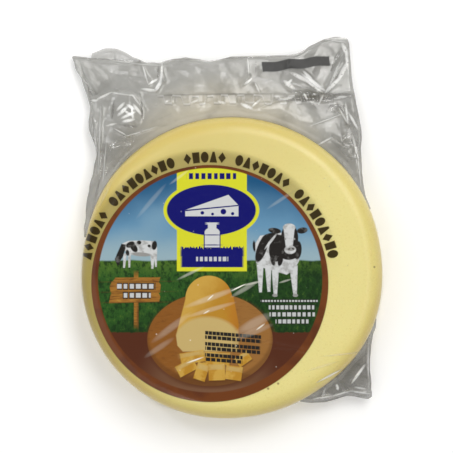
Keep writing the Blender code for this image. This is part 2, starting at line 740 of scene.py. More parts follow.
@dataclass
class HuggingFilm:
    """The part of the bag that lies tight on the slice and carries the print."""

    shape: SliceShape
    low: float
    high: float
    seam: float
    material: bpy.types.Material
    clearance: float = 0.25 * MM
    fin: float = 0.75 * MM
    ruffle: float = 0.004
    ruffle_seed: int = 8
    sides: int = 480
    creases: tuple[Crease, ...] = (
        Crease((12, -37), (46, -43), 0.22, 0.9),
        Crease((46, -43), (65, -42), 0.26, 0.8, 0.8),
        Crease((43, -57), (54, -51.5), 0.30, 0.9),
        Crease((38, -51), (52, -47.5), 0.22, 0.9, 0.5),
        Crease((-62, -38), (-50, -57), 0.25, 1.2, 0.6),
        Crease((4, -14), (18, -8), 0.22, 0.9, 0.7),
        Crease((-2, -20), (16, -12), 0.16, 1.2, 0.7),
    )

    def profile(self) -> list[Point]:
        """The film's section, from the top's middle round to the bottom's."""
        radius = self.shape.radius + self.clearance
        rounding = self.shape.rounding + self.clearance
        inner, fin = radius - rounding, self.fin
        points = [(0.0, self.high)]
        points += straight(points[-1], (inner, self.high), 62)
        points += rim_arc(rounding, (inner, self.high - rounding), 90, 0, 14)
        points += straight(points[-1], (radius, self.seam + 2 * fin), 4)
        points += [(radius + 0.3 * fin, self.seam + 0.6 * fin)]
        points += [(radius + fin, self.seam + 0.15 * fin), (radius + fin, self.seam - 0.15 * fin)]
        points += [(radius + 0.3 * fin, self.seam - 0.6 * fin)]
        points += straight(points[-1], (radius, self.low + rounding), 2)
        points += rim_arc(rounding, (inner, self.low + rounding), 0, -90, 8)
        points += straight(points[-1], (0.0, self.low), 10)
        return points

    def draped(self, points: np.ndarray) -> np.ndarray:
        """Fits the film to the slice's outline and lays its creases."""
        angle = np.arctan2(points[:, 1], points[:, 0])
        reach = np.hypot(points[:, 0], points[:, 1])
        points[:, :2] *= (self.shape.rim(angle) / self.shape.radius)[:, None]
        edge = reach > self.shape.radius + 1.2 * self.clearance
        ruffle = self.ruffle * Field(self.ruffle_seed).at(angle * 60, reach, 5)
        points[:, :2] *= (1 + edge * ruffle)[:, None]
        top = points[:, 2] > 0.5 * (self.low + self.high)
        points[:, 2] -= top * self.shape.sag(points)
        x, y = points[:, 0] / MM, points[:, 1] / MM
        relief = sum(crease.relief(x, y) for crease in self.creases)
        flat = top & (reach < self.shape.radius - 0.4 * self.shape.rounding)
        points[:, 2] += flat * relief * MM
        return points

    def build(self) -> bpy.types.Object:
        """Makes the piece, which stands for part of the frame's bag."""
        body = turned(self.profile(), self.sides)
        piece = finished(body, "hugging_film", self.material, self.draped)
        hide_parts("bag")
        return piece


class Web(Enum):
    """The bag's two webs of film."""

    FRONT = 1
    BACK = -1


@dataclass
class LooseFilm:
    """A stretch of the bag that stands out from the slice as two webs.

    The outline runs anticlockwise, from the slice's rim out and back to it, in
    millimetres. The mouth, where the webs part, lies between two shares of it.
    """

    name: str
    shape: SliceShape
    seam: float
    floor: float
    material: bpy.types.Material
    outline: tuple[Point, ...]
    reliefs: dict[Web, tuple[Any, ...]]
    columns: int
    rows: dict[Web, int]
    outline_steps: int = 1200
    outline_window: int = 9
    droop: float = 9.5 * MM
    droop_width: float = 42 * MM
    airspace: float = 0.9 * MM
    waver: float = 0.35
    wall_gap: float = 0.35 * MM
    least_reach: float = 0.4 * MM
    web_gap: float = 0.12 * MM
    airspace_fade: float = 5 * MM
    fillet_front: float = 6 * MM
    fillet_back: float = 2.5 * MM
    fillet_reach: float = 6 * MM
    slack_at_wall: float = 5 * MM
    slack_at_edge: float = 3 * MM
    hem: float = 0.35 * MM
    hem_place: float = 2.2
    hem_width: float = 0.6
    lip_fade: float = 4 * MM
    mouth: Optional[tuple[float, float]] = None
    lip_centre: float = -60 * MM
    lip_half_width: float = 19 * MM
    lip_rise: float = 5.6 * MM
    seed: int = 21

    def outline_at(self, share: np.ndarray) -> np.ndarray:
        """The outline's points at shares of its length.

        Args:
            share: Shares from zero to one.

        Returns:
            Rows of X and Y in metres.
        """
        corners = np.array(self.outline) * MM
        lengths = np.hypot(*np.diff(corners, axis=0).T)
        stations = np.concatenate([[0], np.cumsum(lengths)]) / lengths.sum()
        fine = np.linspace(0, 1, self.outline_steps)
        line = np.stack([np.interp(fine, stations, corners[:, i]) for i in (0, 1)], axis=1)
        window = self.outline_window
        kernel = np.ones(window) / window
        padded = np.pad(line, ((window // 2, window // 2), (0, 0)), mode="edge")
        line = np.stack([np.convolve(padded[:, i], kernel, "valid") for i in (0, 1)], axis=1)
        waver = Field(self.seed)
        steps = fine * lengths.sum() / MM
        line[:, 0] += self.waver * MM * waver.at(steps, 0 * steps, 4.5)
        line[:, 1] += self.waver * MM * waver.at(steps, 0 * steps + 40, 3.5)
        return np.stack([np.interp(share, fine, line[:, i]) for i in (0, 1)], axis=1)

    def in_mouth(self, share: np.ndarray) -> np.ndarray:
        """Where the outline is part of the mouth."""
        if self.mouth is None:
            return np.zeros(share.shape, bool)
        return (share > self.mouth[0]) & (share < self.mouth[1])

    def web_points(self, web: Web, share: np.ndarray, out: np.ndarray) -> np.ndarray:
        """Places of one web.

        Args:
            web: Which web.
            share: Shares of the outline's length.
            out: Shares of the way from the slice to the outline.

        Returns:
            Rows of X, Y and Z in metres.
        """
        edge = self.outline_at(share)
        if web is Web.BACK:
            near = np.abs(edge[:, 0] - self.lip_centre) < self.lip_half_width
            bump = 0.5 + 0.5 * np.cos(np.pi * (edge[:, 0] - self.lip_centre) / self.lip_half_width)
            edge[:, 1] += self.in_mouth(share) * near * bump * self.lip_rise
        angle = np.arctan2(edge[:, 1], edge[:, 0])
        reach = np.hypot(edge[:, 0], edge[:, 1])
        wall = self.shape.rim(angle) + self.wall_gap
        reach = np.maximum(reach, wall + self.least_reach)
        radius = wall + (reach - wall) * out
        x, y = radius * np.cos(angle), radius * np.sin(angle)
        from_wall, from_edge = radius - wall, reach - radius
        side = web.value
        height = self.seam - self.droop * np.tanh(from_wall / self.droop_width * 1.3)
        air = self.airspace * (1 - np.exp(-from_edge / self.airspace_fade))
        height += side * (self.web_gap + air)
        fillet = self.fillet_front if web is Web.FRONT else self.fillet_back
        room = np.clip((reach - wall) / self.fillet_reach, 0, 1)
        height += side * fillet * np.exp(-from_wall / (0.5 * fillet)) * room
        slack = np.clip(from_wall / self.slack_at_wall, 0, 1)
        slack = slack * np.clip(from_edge / self.slack_at_edge, 0.25, 1)
        relief = sum(shape.relief(x / MM, y / MM) for shape in self.reliefs[web])
        height += side * slack * relief * MM
        along_hem = (from_edge / MM - self.hem_place) / self.hem_width
        height += side * self.hem * np.exp(-along_hem ** 2)
        if self.mouth is not None:
            lip = self.in_mouth(share) * np.exp(-from_edge / self.lip_fade)
            height += side * lip * (0.5 + 0.4 * np.sin(share * 90)) * MM
        lowest = self.floor + (0.15 * MM if web is Web.FRONT else 0.0)
        return np.stack([x, y, np.maximum(height, lowest)], axis=1)

    def shaped(self, points: np.ndarray) -> np.ndarray:
        """Turns the flat grid's points into both webs.

        Args:
            points: The grid's points, X along the outline and Y across the webs.

        Returns:
            The bag's points.
        """
        front, back = self.rows[Web.FRONT], self.rows[Web.BACK]
        share = points[:, 0] + 0.5
        row = np.rint((points[:, 1] + 0.5) * (front + back + 1))
        in_front = row <= front
        out = np.where(in_front, row / front, 1 - (row - front - 1) / back)
        moved = np.empty_like(points)
        for web, here in ((Web.FRONT, in_front), (Web.BACK, ~in_front)):
            moved[here] = self.web_points(web, share[here], out[here])
        return moved

    def grid(self) -> bmesh.types.BMesh:
        """A flat grid of both webs, cut open along the mouth."""
        front, back = self.rows[Web.FRONT], self.rows[Web.BACK]
        rows = front + back + 1
        bm = bmesh.new()
        bmesh.ops.create_grid(bm, x_segments=self.columns, y_segments=rows, size=0.5)
        if self.mouth is not None:
            crossing = (front + 0.5) / rows - 0.5
            parted = []
            for face in bm.faces:
                centre = face.calc_center_median()
                share = centre.x + 0.5
                if abs(centre.y - crossing) < 0.4 / rows and self.mouth[0] < share < self.mouth[1]:
                    parted.append(face)
            bmesh.ops.delete(bm, geom=parted, context="FACES_ONLY")
        return bm

    def build(self) -> bpy.types.Object:
        """Makes the piece, which stands for part of the frame's bag."""
        piece = finished(self.grid(), self.name, self.material, self.shaped)
        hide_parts("bag")
        return piece


# --------------------------------------------------------------------------
# Finishes
# --------------------------------------------------------------------------


@dataclass(frozen=True)
class CheeseFinish:
    """Smooth pale provolone, golden where the smoke reached it, with painted shade towards the upper
    left and on the lower rim.
    """

    paste: Colour = srgb(235, 223, 143)
    warm: Colour = srgb(216, 196, 110)
    golden: Colour = srgb(228, 202, 108)
    rind: Colour = srgb(206, 174, 92)
    speck: Colour = srgb(120, 96, 40)

    def material(self, shape: SliceShape) -> bpy.types.Material:
        """Builds the material.

        Args:
            shape: The slice's form, which places the golden rim.

        Returns:
            The material.
        """
        graph = Graph("provolone")
        plan = Plan(graph)
        cloudy = graph.noise(plan.place, 33.3, 3.0)
        fine = graph.noise(plan.place, 1.11, 3.0)
        reach = plan.distance((0.0, 0.0)) + (cloudy - 0.5) * 5
        # Painted shade: the top grows darker and warmer towards the upper left, and the golden rim
        # grows stronger there with it.
        upper_left_shade = (plan.x * -0.55 + plan.y * 0.55 + (cloudy - 0.5) * 30).ramp(-30, 75)
        colour = graph.mix(self.paste, self.warm, upper_left_shade * 0.9)
        rim = shape.radius / MM
        colour = graph.mix(colour, self.golden, reach.ramp(rim - 12, rim + 1) * (0.35 + upper_left_shade * 0.4))
        # The rind's darker tone on the rim grows towards the bottom: the rind's own colour, with
        # painted shade on the lower rim.
        lower = plan.y.ramp(50, -20) * 0.6
        colour = graph.mix(colour, self.rind, reach.ramp(rim - 3.5, rim + 1.5) * lower)
        colour = graph.mix(colour, self.warm, (fine - 0.5).ramp(0.02, 0.3) * 0.5)
        for place, size in (((71.3, 0.2), 0.5), ((23.3, -57.9), 0.55), ((18.3, -60.4), 0.6)):
            colour = graph.mix(colour, self.speck, plan.disc(place, size, 0.5) * 0.8)
        graph.feed(
            Base_Color=colour, Roughness=0.34 + fine * 0.12,
            Subsurface_Weight=0.18, Subsurface_Scale=0.004,
            Subsurface_Radius=(1.0, 0.7, 0.3), Coat_Weight=0.28, Coat_Roughness=0.25,
        )
        graph.bump(cloudy * 0.7 + fine * 0.3, 0.25 * MM, 0.35)
        return graph.material


@dataclass(frozen=True)
class LooseFilmFinish:
    """Clear film, hazy where it is doubled and crumpled, with painted shade in its folds and beside
    the slice, and painted highlights along its creases.
    """

    haze: Colour = srgb(175, 175, 170)
    pale: Colour = srgb(218, 210, 188)
    shade: Colour = srgb(92, 89, 81)
    gleam: Colour = srgb(252, 252, 250)
    ink: Colour = srgb(30, 29, 27)
    cover: float = 0.58
    roughness: float = 0.08

    def material(self) -> bpy.types.Material:
        """Builds the material."""
        graph = Graph("loose_film")
        plan = Plan(graph)
        cloudy = graph.noise(plan.place, 18, 3.0)
        grain = graph.noise(plan.place, 1.6, 3.0, 0.6)
        broad = self.facets(graph, plan.stretched((0.7, 1.0), 12), 75.0)
        small = self.facets(graph, plan.place, 190.0)
        colour = graph.mix(self.haze, self.pale, plan.distance((-4, 40)).ramp(62, 36) * 0.85)
        colour = graph.mix(colour, self.shade, (cloudy - 0.5).ramp(0.0, 0.2) * 0.35)
        # Painted shadow patches, mostly beside the slice and in the loose corner.
        for centre, size, turn, share in (
            ((-57, 58), (17, 7), 42, 0.6),
            ((60, 62), (8, 18), 0, 0.5),
            ((44, 100), (16, 8), 10, 0.3),
            ((66, -42), (6, 16), 20, 0.8),
            ((60, -52), (12, 12), 30, 0.7),
            ((45, -64), (14, 4), 0, 0.6),
        ):
            soft = plan.oval(centre, size, turn, min(size) * 1.3)
            colour = graph.mix(colour, self.shade, soft * (0.5 + cloudy) * share)
        # Painted shade along the film's folds and edges.
        for streak in FILM_SHADES:
            colour = graph.mix(colour, self.shade, streak.mask(plan))
        # Painted shade along the sharp folds between facets; the folds also make the film a little
        # more opaque.
        line = broad.ramp(0.05, 0.0) * cloudy.ramp(0.46, 0.6)
        line = line.at_least(small.ramp(0.05, 0.0) * cloudy.ramp(0.52, 0.4) * 0.5)
        colour = graph.mix(colour, self.shade, line * 0.25)
        # Painted shade and painted highlight along the seal pockets' stepped line.
        for shift, tone in ((-0.5, self.shade), (0.0, self.gleam)):
            colour = graph.mix(colour, tone, self.seal_line(plan, shift, cloudy) * 0.38)
        # Painted highlights along the creases and blisters, broken up by grain; where they lie the
        # film is also more opaque.
        glint = line * 0.3
        broken = grain.ramp(0.22, 0.46)
        for streak in FILM_GLINTS:
            mask = streak.mask(plan) * broken
            colour = graph.mix(colour, self.gleam, mask)
            glint = glint.at_least(mask)
        strip = self.strip(plan, cloudy)
        colour = graph.mix(colour, self.ink, strip)
        cover = self.cover + (cloudy - 0.5) * 0.3 + glint * 0.4 + strip * 0.4
        graph.feed(
            Base_Color=colour, Roughness=self.roughness + grain * 0.06 + strip * 0.5,
            Alpha=cover.at_most(1.0), Specular_IOR_Level=1.0,
        )
        height = cloudy * 0.2 + broad.at_most(0.5) * 0.7 + small.at_most(0.4) * 0.2
        graph.bump(height + grain * 0.16, 0.8 * MM, 0.6)
        return graph.material

    def facets(self, graph: Graph, place: Any, scale: float) -> Value:
        """The distance from the sharp folds between flat facets, as a share of a facet."""
        node = graph.add(
            "TexVoronoi", {"feature": "DISTANCE_TO_EDGE"}, {"Vector": place, "Scale": scale}
        )
        return Value(graph, node.outputs["Distance"])

    def seal_line(self, plan: Plan, shift: float, noise: Value) -> Value:
        """A mask of the stepped line that the seal's pockets make.

        Args:
            plan: Where it lies.
            shift: How far the line is moved up, in millimetres.
            noise: What makes the line uneven.

        Returns:
            The mask.
        """
        graph = plan.graph
        wave = graph.math("SINE", (plan.x + noise * 9) * 0.76) * 3.2
        step = wave.at_most(1.0).at_least(-1.0) * 1.9
        line = plan.y - step - noise * 4 - (82.2 + shift)
        span = abs(plan.x - 10).below(47, 3.0)
        return abs(line).below(0.45, 0.5) * span

    def strip(self, plan: Plan, noise: Value) -> Value:
        """A mask of the dark strip printed near the top right corner."""
        start, end = Vector((15.5, 100.5)), Vector((49.6, 104.3))
        middle = (start + end) / 2
        turn = math.degrees(math.atan2(end.y - start.y, end.x - start.x))
        half = ((end - start).length / 2, 2.5)
        along, across = plan.local(tuple(middle), half, turn)
        wave = plan.graph.math("SINE", along * 8.0) * 0.14 + (noise - 0.5) * 0.3
        return abs(along).below(1.0, 0.03) * abs(across + wave).below(1.0, 0.15)


@dataclass(frozen=True)
class Ink:
    """The colours of the print."""

    brown: Colour = srgb(112, 60, 24)
    brown_dark: Colour = srgb(84, 42, 23)
    mauve: Colour = srgb(118, 82, 58)
    sky_high: Colour = srgb(22, 82, 124)
    sky_mid: Colour = srgb(102, 148, 180)
    sky_low: Colour = srgb(150, 176, 186)
    grass: Colour = srgb(44, 86, 30)
    grass_dark: Colour = srgb(16, 44, 14)
    grass_light: Colour = srgb(92, 124, 44)
    yellow: Colour = srgb(216, 216, 44)
    navy: Colour = srgb(8, 10, 106)
    white: Colour = srgb(208, 210, 210)
    grey: Colour = srgb(150, 149, 146)
    black: Colour = srgb(34, 31, 28)
    wood: Colour = srgb(138, 86, 32)
    wood_light: Colour = srgb(154, 108, 54)
    wood_dark: Colour = srgb(92, 54, 24)
    plank: Colour = srgb(158, 108, 42)
    rind: Colour = srgb(184, 134, 42)
    rind_light: Colour = srgb(202, 160, 70)
    amber: Colour = srgb(182, 114, 32)
    cream: Colour = srgb(198, 172, 110)
    olive: Colour = srgb(52, 40, 10)
    khaki: Colour = srgb(136, 124, 66)


class Picture:
    """A stack of painted shapes: each new one lies over those before it."""

    def __init__(self, plan: Plan, ground: Any) -> None:
        """Starts from a ground colour.

        Args:
            plan: Where the picture lies.
            ground: Its first colour.
        """
        self.plan = plan
        self.colour = ground

    def paint(self, colour: Any, *masks: Number) -> None:
        """Lays a colour where all the masks are set."""
        share = masks[0]
        for mask in masks[1:]:
            share = share * mask
        self.colour = self.plan.graph.mix(self.colour, colour, share)


class Coat(Enum):
    """The tones of a pictured cow."""

    WHITE = 0
    GREY = 1
    BLACK = 2


@dataclass(frozen=True)
class Blot:
    """One oval of a pictured cow, in millimetres on the print."""

    tone: Coat
    centre: Point
    size: Point
    turn: float = 0.0

    def mask(self, plan: Plan) -> Value:
        """Where the oval lies."""
        return plan.oval(self.centre, self.size, self.turn, 0.35)


@dataclass(frozen=True)
class Patch:
    """One polygon of a pictured cow, its corners anticlockwise, in millimetres."""

    tone: Coat
    corners: tuple[Point, ...]

    def mask(self, plan: Plan) -> Value:
        """Where the polygon lies."""
        return plan.polygon(self.corners, 0.4)


def leg(top: Point, foot: Point, upper: float, lower: float) -> Patch:
    """A pictured leg that narrows towards its foot."""
    return Patch(Coat.WHITE, (
        (top[0] - upper, top[1]), (foot[0] - lower, foot[1]),
        (foot[0] + lower, foot[1]), (top[0] + upper, top[1]),
    ))


COW_GRAZING = (
    leg((-50.8, 7.0), (-50.9, 0.0), 0.75, 0.4),
    leg((-53.0, 7.0), (-53.5, -0.2), 0.9, 0.45),
    leg((-37.9, 8.5), (-37.6, 0.3), 0.9, 0.4),
    leg((-39.2, 8.0), (-39.4, -0.6), 1.3, 0.5),
    Patch(Coat.WHITE, (
        (-54.6, 9.6), (-51.4, 6.6), (-45.0, 5.5), (-39.0, 6.4), (-37.0, 9.0),
        (-37.3, 12.0), (-38.6, 13.1), (-44.4, 13.5), (-51.4, 13.2), (-54.4, 11.9),
    )),
    Blot(Coat.GREY, (-45.0, 6.5), (5.0, 1.0), -4),
    Patch(Coat.BLACK, (
        (-57.3, 6.2), (-56.4, 2.0), (-54.2, 5.0), (-52.9, 9.0), (-52.7, 11.4), (-54.8, 11.8),
    )),
    Patch(Coat.BLACK, ((-58.2, 4.2), (-56.9, 0.9), (-56.0, 1.2), (-54.9, 4.6), (-57.1, 6.3))),
    Blot(Coat.BLACK, (-51.8, 7.3), (0.9, 1.5), 10),
    Blot(Coat.BLACK, (-50.4, 11.4), (2.3, 1.4), 25),
    Blot(Coat.BLACK, (-48.6, 9.8), (1.5, 2.5), 35),
    Blot(Coat.BLACK, (-46.0, 12.4), (1.1, 1.0)),
    Blot(Coat.BLACK, (-38.4, 11.0), (1.3, 2.3), -8),
    Blot(Coat.BLACK, (-41.0, 10.7), (0.8, 0.7), -20),
)
COW_STANDING = (
    leg((14.3, 1.5), (14.5, -12.4), 1.7, 0.7),
    leg((18.3, 0.5), (18.7, -12.1), 1.6, 0.7),
    Blot(Coat.BLACK, (11.4, 10.6), (0.8, 2.7), 4),
    Patch(Coat.WHITE, (
        (12.3, 2.2), (16.0, -0.2), (27.5, -3.6), (31.2, -1.4), (33.6, 3.0), (34.6, 9.0),
        (32.0, 15.5), (24.0, 17.4), (14.3, 15.8), (11.9, 12.0),
    )),
    leg((21.9, 2.0), (21.9, -14.4), 2.0, 0.8),
    leg((30.9, 1.0), (31.8, -14.4), 2.1, 0.8),
    Blot(Coat.GREY, (21.7, -13.9), (1.3, 0.8)),
    Blot(Coat.GREY, (31.9, -13.9), (1.3, 0.8)),
    Blot(Coat.BLACK, (15.2, 9.4), (2.4, 7.2), -20),
    Blot(Coat.BLACK, (19.3, 15.0), (4.2, 2.1), 14),
    Blot(Coat.BLACK, (23.0, 9.6), (4.2, 6.8), -10),
    Blot(Coat.BLACK, (28.8, 7.4), (5.4, 3.6), 4),
    Blot(Coat.WHITE, (27.6, 1.4), (3.4, 1.6), 4),
    Blot(Coat.BLACK, (33.0, 8.6), (2.0, 4.6), -4),
    Blot(Coat.BLACK, (20.6, 3.4), (1.1, 2.6), 14),
    Blot(Coat.BLACK, (24.4, 3.2), (1.2, 2.6), -16),
    Blot(Coat.WHITE, (19.6, 13.0), (0.6, 4.4), -38),
    Blot(Coat.BLACK, (21.6, 18.3), (3.2, 1.4), -9),
    Blot(Coat.BLACK, (35.3, 18.4), (2.7, 1.5), 10),
    Blot(Coat.BLACK, (29.0, 14.6), (4.3, 7.2)),
    Blot(Coat.WHITE, (28.8, 19.9), (3.1, 2.0)),
    Patch(Coat.WHITE, ((27.1, 10.0), (30.5, 10.0), (31.5, 19.4), (26.0, 19.4))),
    Blot(Coat.WHITE, (29.3, 8.8), (2.9, 2.1)),
    Blot(Coat.GREY, (29.7, 9.2), (2.1, 1.0), 6),
    Blot(Coat.BLACK, (28.8, 9.2), (0.6, 0.35), 25),
    Blot(Coat.BLACK, (30.7, 9.3), (0.6, 0.35), -25),
    Blot(Coat.GREY, (26.9, 14.2), (0.45, 0.5)),
    Blot(Coat.GREY, (31.4, 14.2), (0.45, 0.5)),
)


@dataclass(frozen=True)
class Streak:
    """A soft line painted into a film's colour along a wrinkle or fold, as a painted highlight or
    painted shade, in millimetres.
    """

    start: Point
    end: Point
    width: float
    share: float

    def mask(self, plan: Plan) -> Value:
        """Where the line lies, strongest along its middle."""
        run = Vector(self.end) - Vector(self.start)
        middle = (Vector(self.start) + Vector(self.end)) / 2
        turn = math.degrees(math.atan2(run.y, run.x))
        size = (run.length / 2, self.width * 0.64)
        return plan.oval(tuple(middle), size, turn, min(size) * 0.7) * self.share


# Painted highlights on the tight film, along its wrinkles.
PRINTED_FILM_GLINTS = (
    Streak((0.3, -11.5), (6.6, -8.5), 0.5, 1.0),
    Streak((5.6, -9.0), (14.5, -7.0), 0.8, 0.4),
    Streak((24.0, -7.6), (29.6, -5.9), 0.7, 0.35),
    Streak((-11.8, -16.2), (-9.1, -13.8), 0.5, 0.9),
    Streak((-21.0, -19.0), (1.0, -11.0), 2.0, 0.22),
    Streak((-20.0, -24.0), (0.0, -18.0), 1.6, 0.2),
    Streak((-13.8, -23.0), (-11.0, -21.4), 0.5, 0.7),
    Streak((4.0, -32.0), (18.5, -24.0), 3.6, 0.18),
    Streak((4.0, -35.0), (19.0, -29.0), 2.2, 0.14),
    Streak((12.6, -31.0), (16.4, -28.2), 0.6, 0.7),
    Streak((1.0, -14.0), (12.0, -7.6), 1.6, 0.25),
    Streak((-21.8, -47.5), (-14.5, -44.9), 0.6, 0.8),
    Streak((-26.0, -5.6), (-15.0, -0.2), 1.0, 0.3),
    Streak((-38.0, -36.0), (-22.0, -24.0), 2.4, 0.14),
    Streak((-42.0, -44.0), (-30.0, -36.0), 2.0, 0.12),
    Streak((-46.0, 26.0), (-34.0, 40.0), 1.6, 0.12),
    Streak((-30.0, 42.0), (-22.0, 48.0), 1.0, 0.2),
    Streak((19.0, 30.0), (31.0, 38.0), 1.2, 0.14),
    Streak((43.0, -57.2), (54.5, -51.2), 0.9, 1.0),
    Streak((38.0, -51.4), (52.0, -47.2), 0.9, 0.35),
    Streak((46.0, -44.2), (64.0, -42.4), 0.9, 0.4),
    Streak((-66.0, 30.0), (-60.0, 42.0), 0.9, 0.3),
)


@dataclass(frozen=True)
class Print:
    """The bag's print: a round farm picture in a brown ring, and marks round it."""

    ring_centre: Point = (-10.8, -8.0)
    ring_radius: float = 59.1
    picture_centre: Point = (-10.6, -6.4)
    picture_radius: float = 55.9
    horizon: float = 3.6
    grass_foot: float = -32.3
    marks_radius: float = 63.0
    marks_pitch: float = 3.94
    marks_start: float = 11.5
    code_left: float = -13.1
    code_top: float = -34.65
    code_spacing: float = 5.5
    code_slope: float = 0.081
    uneven_turn: float = 12.9
    uneven_scale: float = 43.7
    ink: Ink = field(default_factory=Ink)

    def landscape(self, picture: Picture) -> None:
        """Paints the sky, the meadow and the brown ground under it."""
        plan, ink, graph = picture.plan, self.ink, picture.plan.graph
        cloud = graph.noise(plan.place, 20, 3.0)
        sky = graph.mix(ink.sky_low, ink.sky_mid, (plan.y + cloud * 10).ramp(8, 28))
        lean = plan.y + abs(plan.x + 12) * 0.30 + cloud * 10
        sky = graph.mix(sky, ink.sky_high, lean.ramp(34, 58))
        drift = plan.y * 0.8 - plan.x * 0.6 + cloud * 14
        sky = graph.mix(sky, ink.sky_low, abs(drift - 48).ramp(9, 0) * 0.25)
        picture.colour = sky
        grass_place = plan.stretched((1.0, 0.6))
        tufts = graph.noise(grass_place, 1.8, 4.0, 0.65)
        broad = graph.noise(grass_place, 11.0, 2.0)
        meadow = graph.mix(ink.grass, ink.grass_light, (plan.y + broad * 16).ramp(0, 14) * 0.6)
        deeper = (plan.x * 0.4 - plan.y * 1.2 + broad * 26).ramp(14, 34)
        meadow = graph.mix(meadow, ink.grass_dark, deeper * 0.6)
        meadow = graph.mix(meadow, ink.grass_dark, tufts.ramp(0.46, 0.62) * 0.8)
        meadow = graph.mix(meadow, ink.grass_light, tufts.ramp(0.44, 0.30) * 0.35)
        ridge = plan.y + (broad - 0.5) * 2.0
        picture.paint(meadow, ridge.below(self.horizon, 0.8))
        low = plan.distance((-12, -62)).ramp(40, 16)
        ground = graph.mix(ink.brown_dark, ink.mauve, low)
        edge = plan.y + (tufts - 0.5) * 2.0
        picture.paint(ground, edge.below(self.grass_foot, 0.6))

    def board(self, picture: Picture) -> None:
        """Paints the oval wooden board."""
        plan, ink, graph = picture.plan, self.ink, picture.plan.graph
        centre, size = (-10.7, -35.9), (31.2, 23.2)
        picture.paint(ink.brown_dark, plan.oval((-10.2, -36.6), (32.0, 23.6), 0, 2.0) * 0.8)
        grain = graph.noise(plan.stretched((0.25, 1.0), 11), 1.7, 3.0, 0.6, 0.8)
        wood = graph.mix(ink.wood, ink.wood_light, (plan.x - plan.y * 0.25).ramp(-18, 16) * 0.85)
        wood = graph.mix(wood, ink.wood_dark, grain.ramp(0.5, 0.75) * 0.35)
        wood = graph.mix(wood, ink.wood_light, grain.ramp(0.45, 0.25) * 0.35)
        picture.paint(wood, plan.oval(centre, size))
        lit = plan.oval((-10.9, -33.9), (30.6, 22.2), 0, 1.5)
        picture.paint(ink.wood_dark, plan.oval(centre, size), lit.ramp(1, 0) * 0.5)

    def cheese(self, picture: Picture) -> None:
        """Paints the pictured cheese and the pieces cut from it."""
        plan, ink, graph = picture.plan, self.ink, picture.plan.graph
        picture.paint(ink.wood_dark, plan.oval((-9, -56.0), (20, 3.4), 0, 3) * 0.6)
        mottle = graph.noise(plan.place, 5.56, 3.0, 0.6)
        body = plan.oval((-11.3, -15.5), (11.6, 11.4)).at_least(
            plan.polygon((
                (-24.2, -41.9), (3.6, -41.9), (3.6, -28.0), (1.0, -14.5), (-22.6, -14.5),
                (-27.6, -33.8), (-26.9, -39.0),
            ), 0.5)
        )
        skin = graph.mix(
            ink.rind, ink.rind_light, (plan.y * 0.6 - plan.x + mottle * 14).ramp(2, 18)
        )
        skin = graph.mix(skin, ink.amber, (plan.x + mottle * 12).ramp(0, 9) * 0.7)
        bulge = plan.oval((-12.0, -38.4), (17.2, 13.8), 0, 1.6)
        skin = graph.mix(skin, ink.cream, bulge)
        skin = graph.mix(skin, ink.wood, (plan.x * 0.9 - plan.y * 0.1).ramp(2, 9) * 0.35)
        picture.paint(skin, body)
        tone = graph.mix(ink.rind_light, ink.rind, mottle.ramp(0.38, 0.6))
        for place, size, turn in (
            ((-7.7, -45.4), (6.8, 3.2), -2), ((-19.4, -44.8), (6.0, 2.9), 10),
            ((5.9, -45.6), (3.7, 2.6), 35), ((-22.4, -49.9), (4.9, 3.0), 28),
            ((-14.9, -52.0), (3.0, 4.3), -18), ((-7.3, -52.0), (4.1, 4.3), 2),
            ((1.2, -52.6), (4.1, 3.5), -8),
        ):
            shadow = (place[0] + 0.3, place[1] - 0.6)
            picture.paint(ink.wood_dark, plan.box(shadow, size, turn, 0.7) * 0.75)
            picture.paint(tone, plan.box(place, size, turn))
            lit = math.radians(turn)
            shift = 0.55 * size[1]
            edge = (place[0] - shift * math.sin(lit), place[1] + shift * math.cos(lit))
            strip = (0.86 * size[0], 0.3 * size[1])
            picture.paint(ink.cream, plan.box(edge, strip, turn, 0.8) * 0.7)

    def panel(self, picture: Picture) -> None:
        """Paints the yellow panel with its oval and its bar."""
        plan, ink, graph = picture.plan, self.ink, picture.plan.graph
        picture.paint(ink.yellow, plan.box((-9.75, 24.9), (17.45, 26.8)))
        picture.paint(ink.yellow, plan.oval((-10, 28.6), (23.9, 14.3)))
        spiky = graph.noise(plan.stretched((1.0, 0.08)), 0.77, 2.0)
        bar = plan.box((-9.6, 4.3), (15.4, 4.2))
        picture.paint(ink.navy, bar)
        fringe = (plan.y - spiky * 5.2).below(7.4, 0.3)
        picture.paint(ink.navy, fringe, plan.box((-9.6, 9.2), (15.6, 3.6)))
        picture.paint(ink.navy, plan.oval((-10, 28.6), (22.2, 12.6)))
        self.churn(picture)
        self.wedge(picture)
        picture.paint(ink.white, self.dashes(plan, (-17.6, 4.2), (-1.6, 4.2), 1.1, 2.3) * 0.9)
        picture.paint(ink.navy, self.dashes(plan, (-22.4, 45.5), (2.8, 45.5), 1.5, 3.1))

    def wedge(self, picture: Picture) -> None:
        """Paints a plain white wedge of cheese in the oval."""
        plan, ink = picture.plan, self.ink
        body = ((-23, 25.5), (3.5, 25.5), (3.5, 31.0), (-1.5, 36.2), (-23, 28.6))
        edge = ((-23, 28.0), (3.5, 30.6), (3.5, 31.2), (-23, 28.7))
        picture.paint(ink.white, plan.polygon(body))
        picture.paint(ink.navy, plan.polygon(edge, 0.2))
        holes = (
            ((-14.5, 27.2), 0.9), ((-4.0, 27.8), 1.4), ((0.6, 26.8), 0.8), ((-9.4, 26.6), 0.7),
        )
        for centre, radius in holes:
            picture.paint(ink.navy, plan.disc(centre, radius))

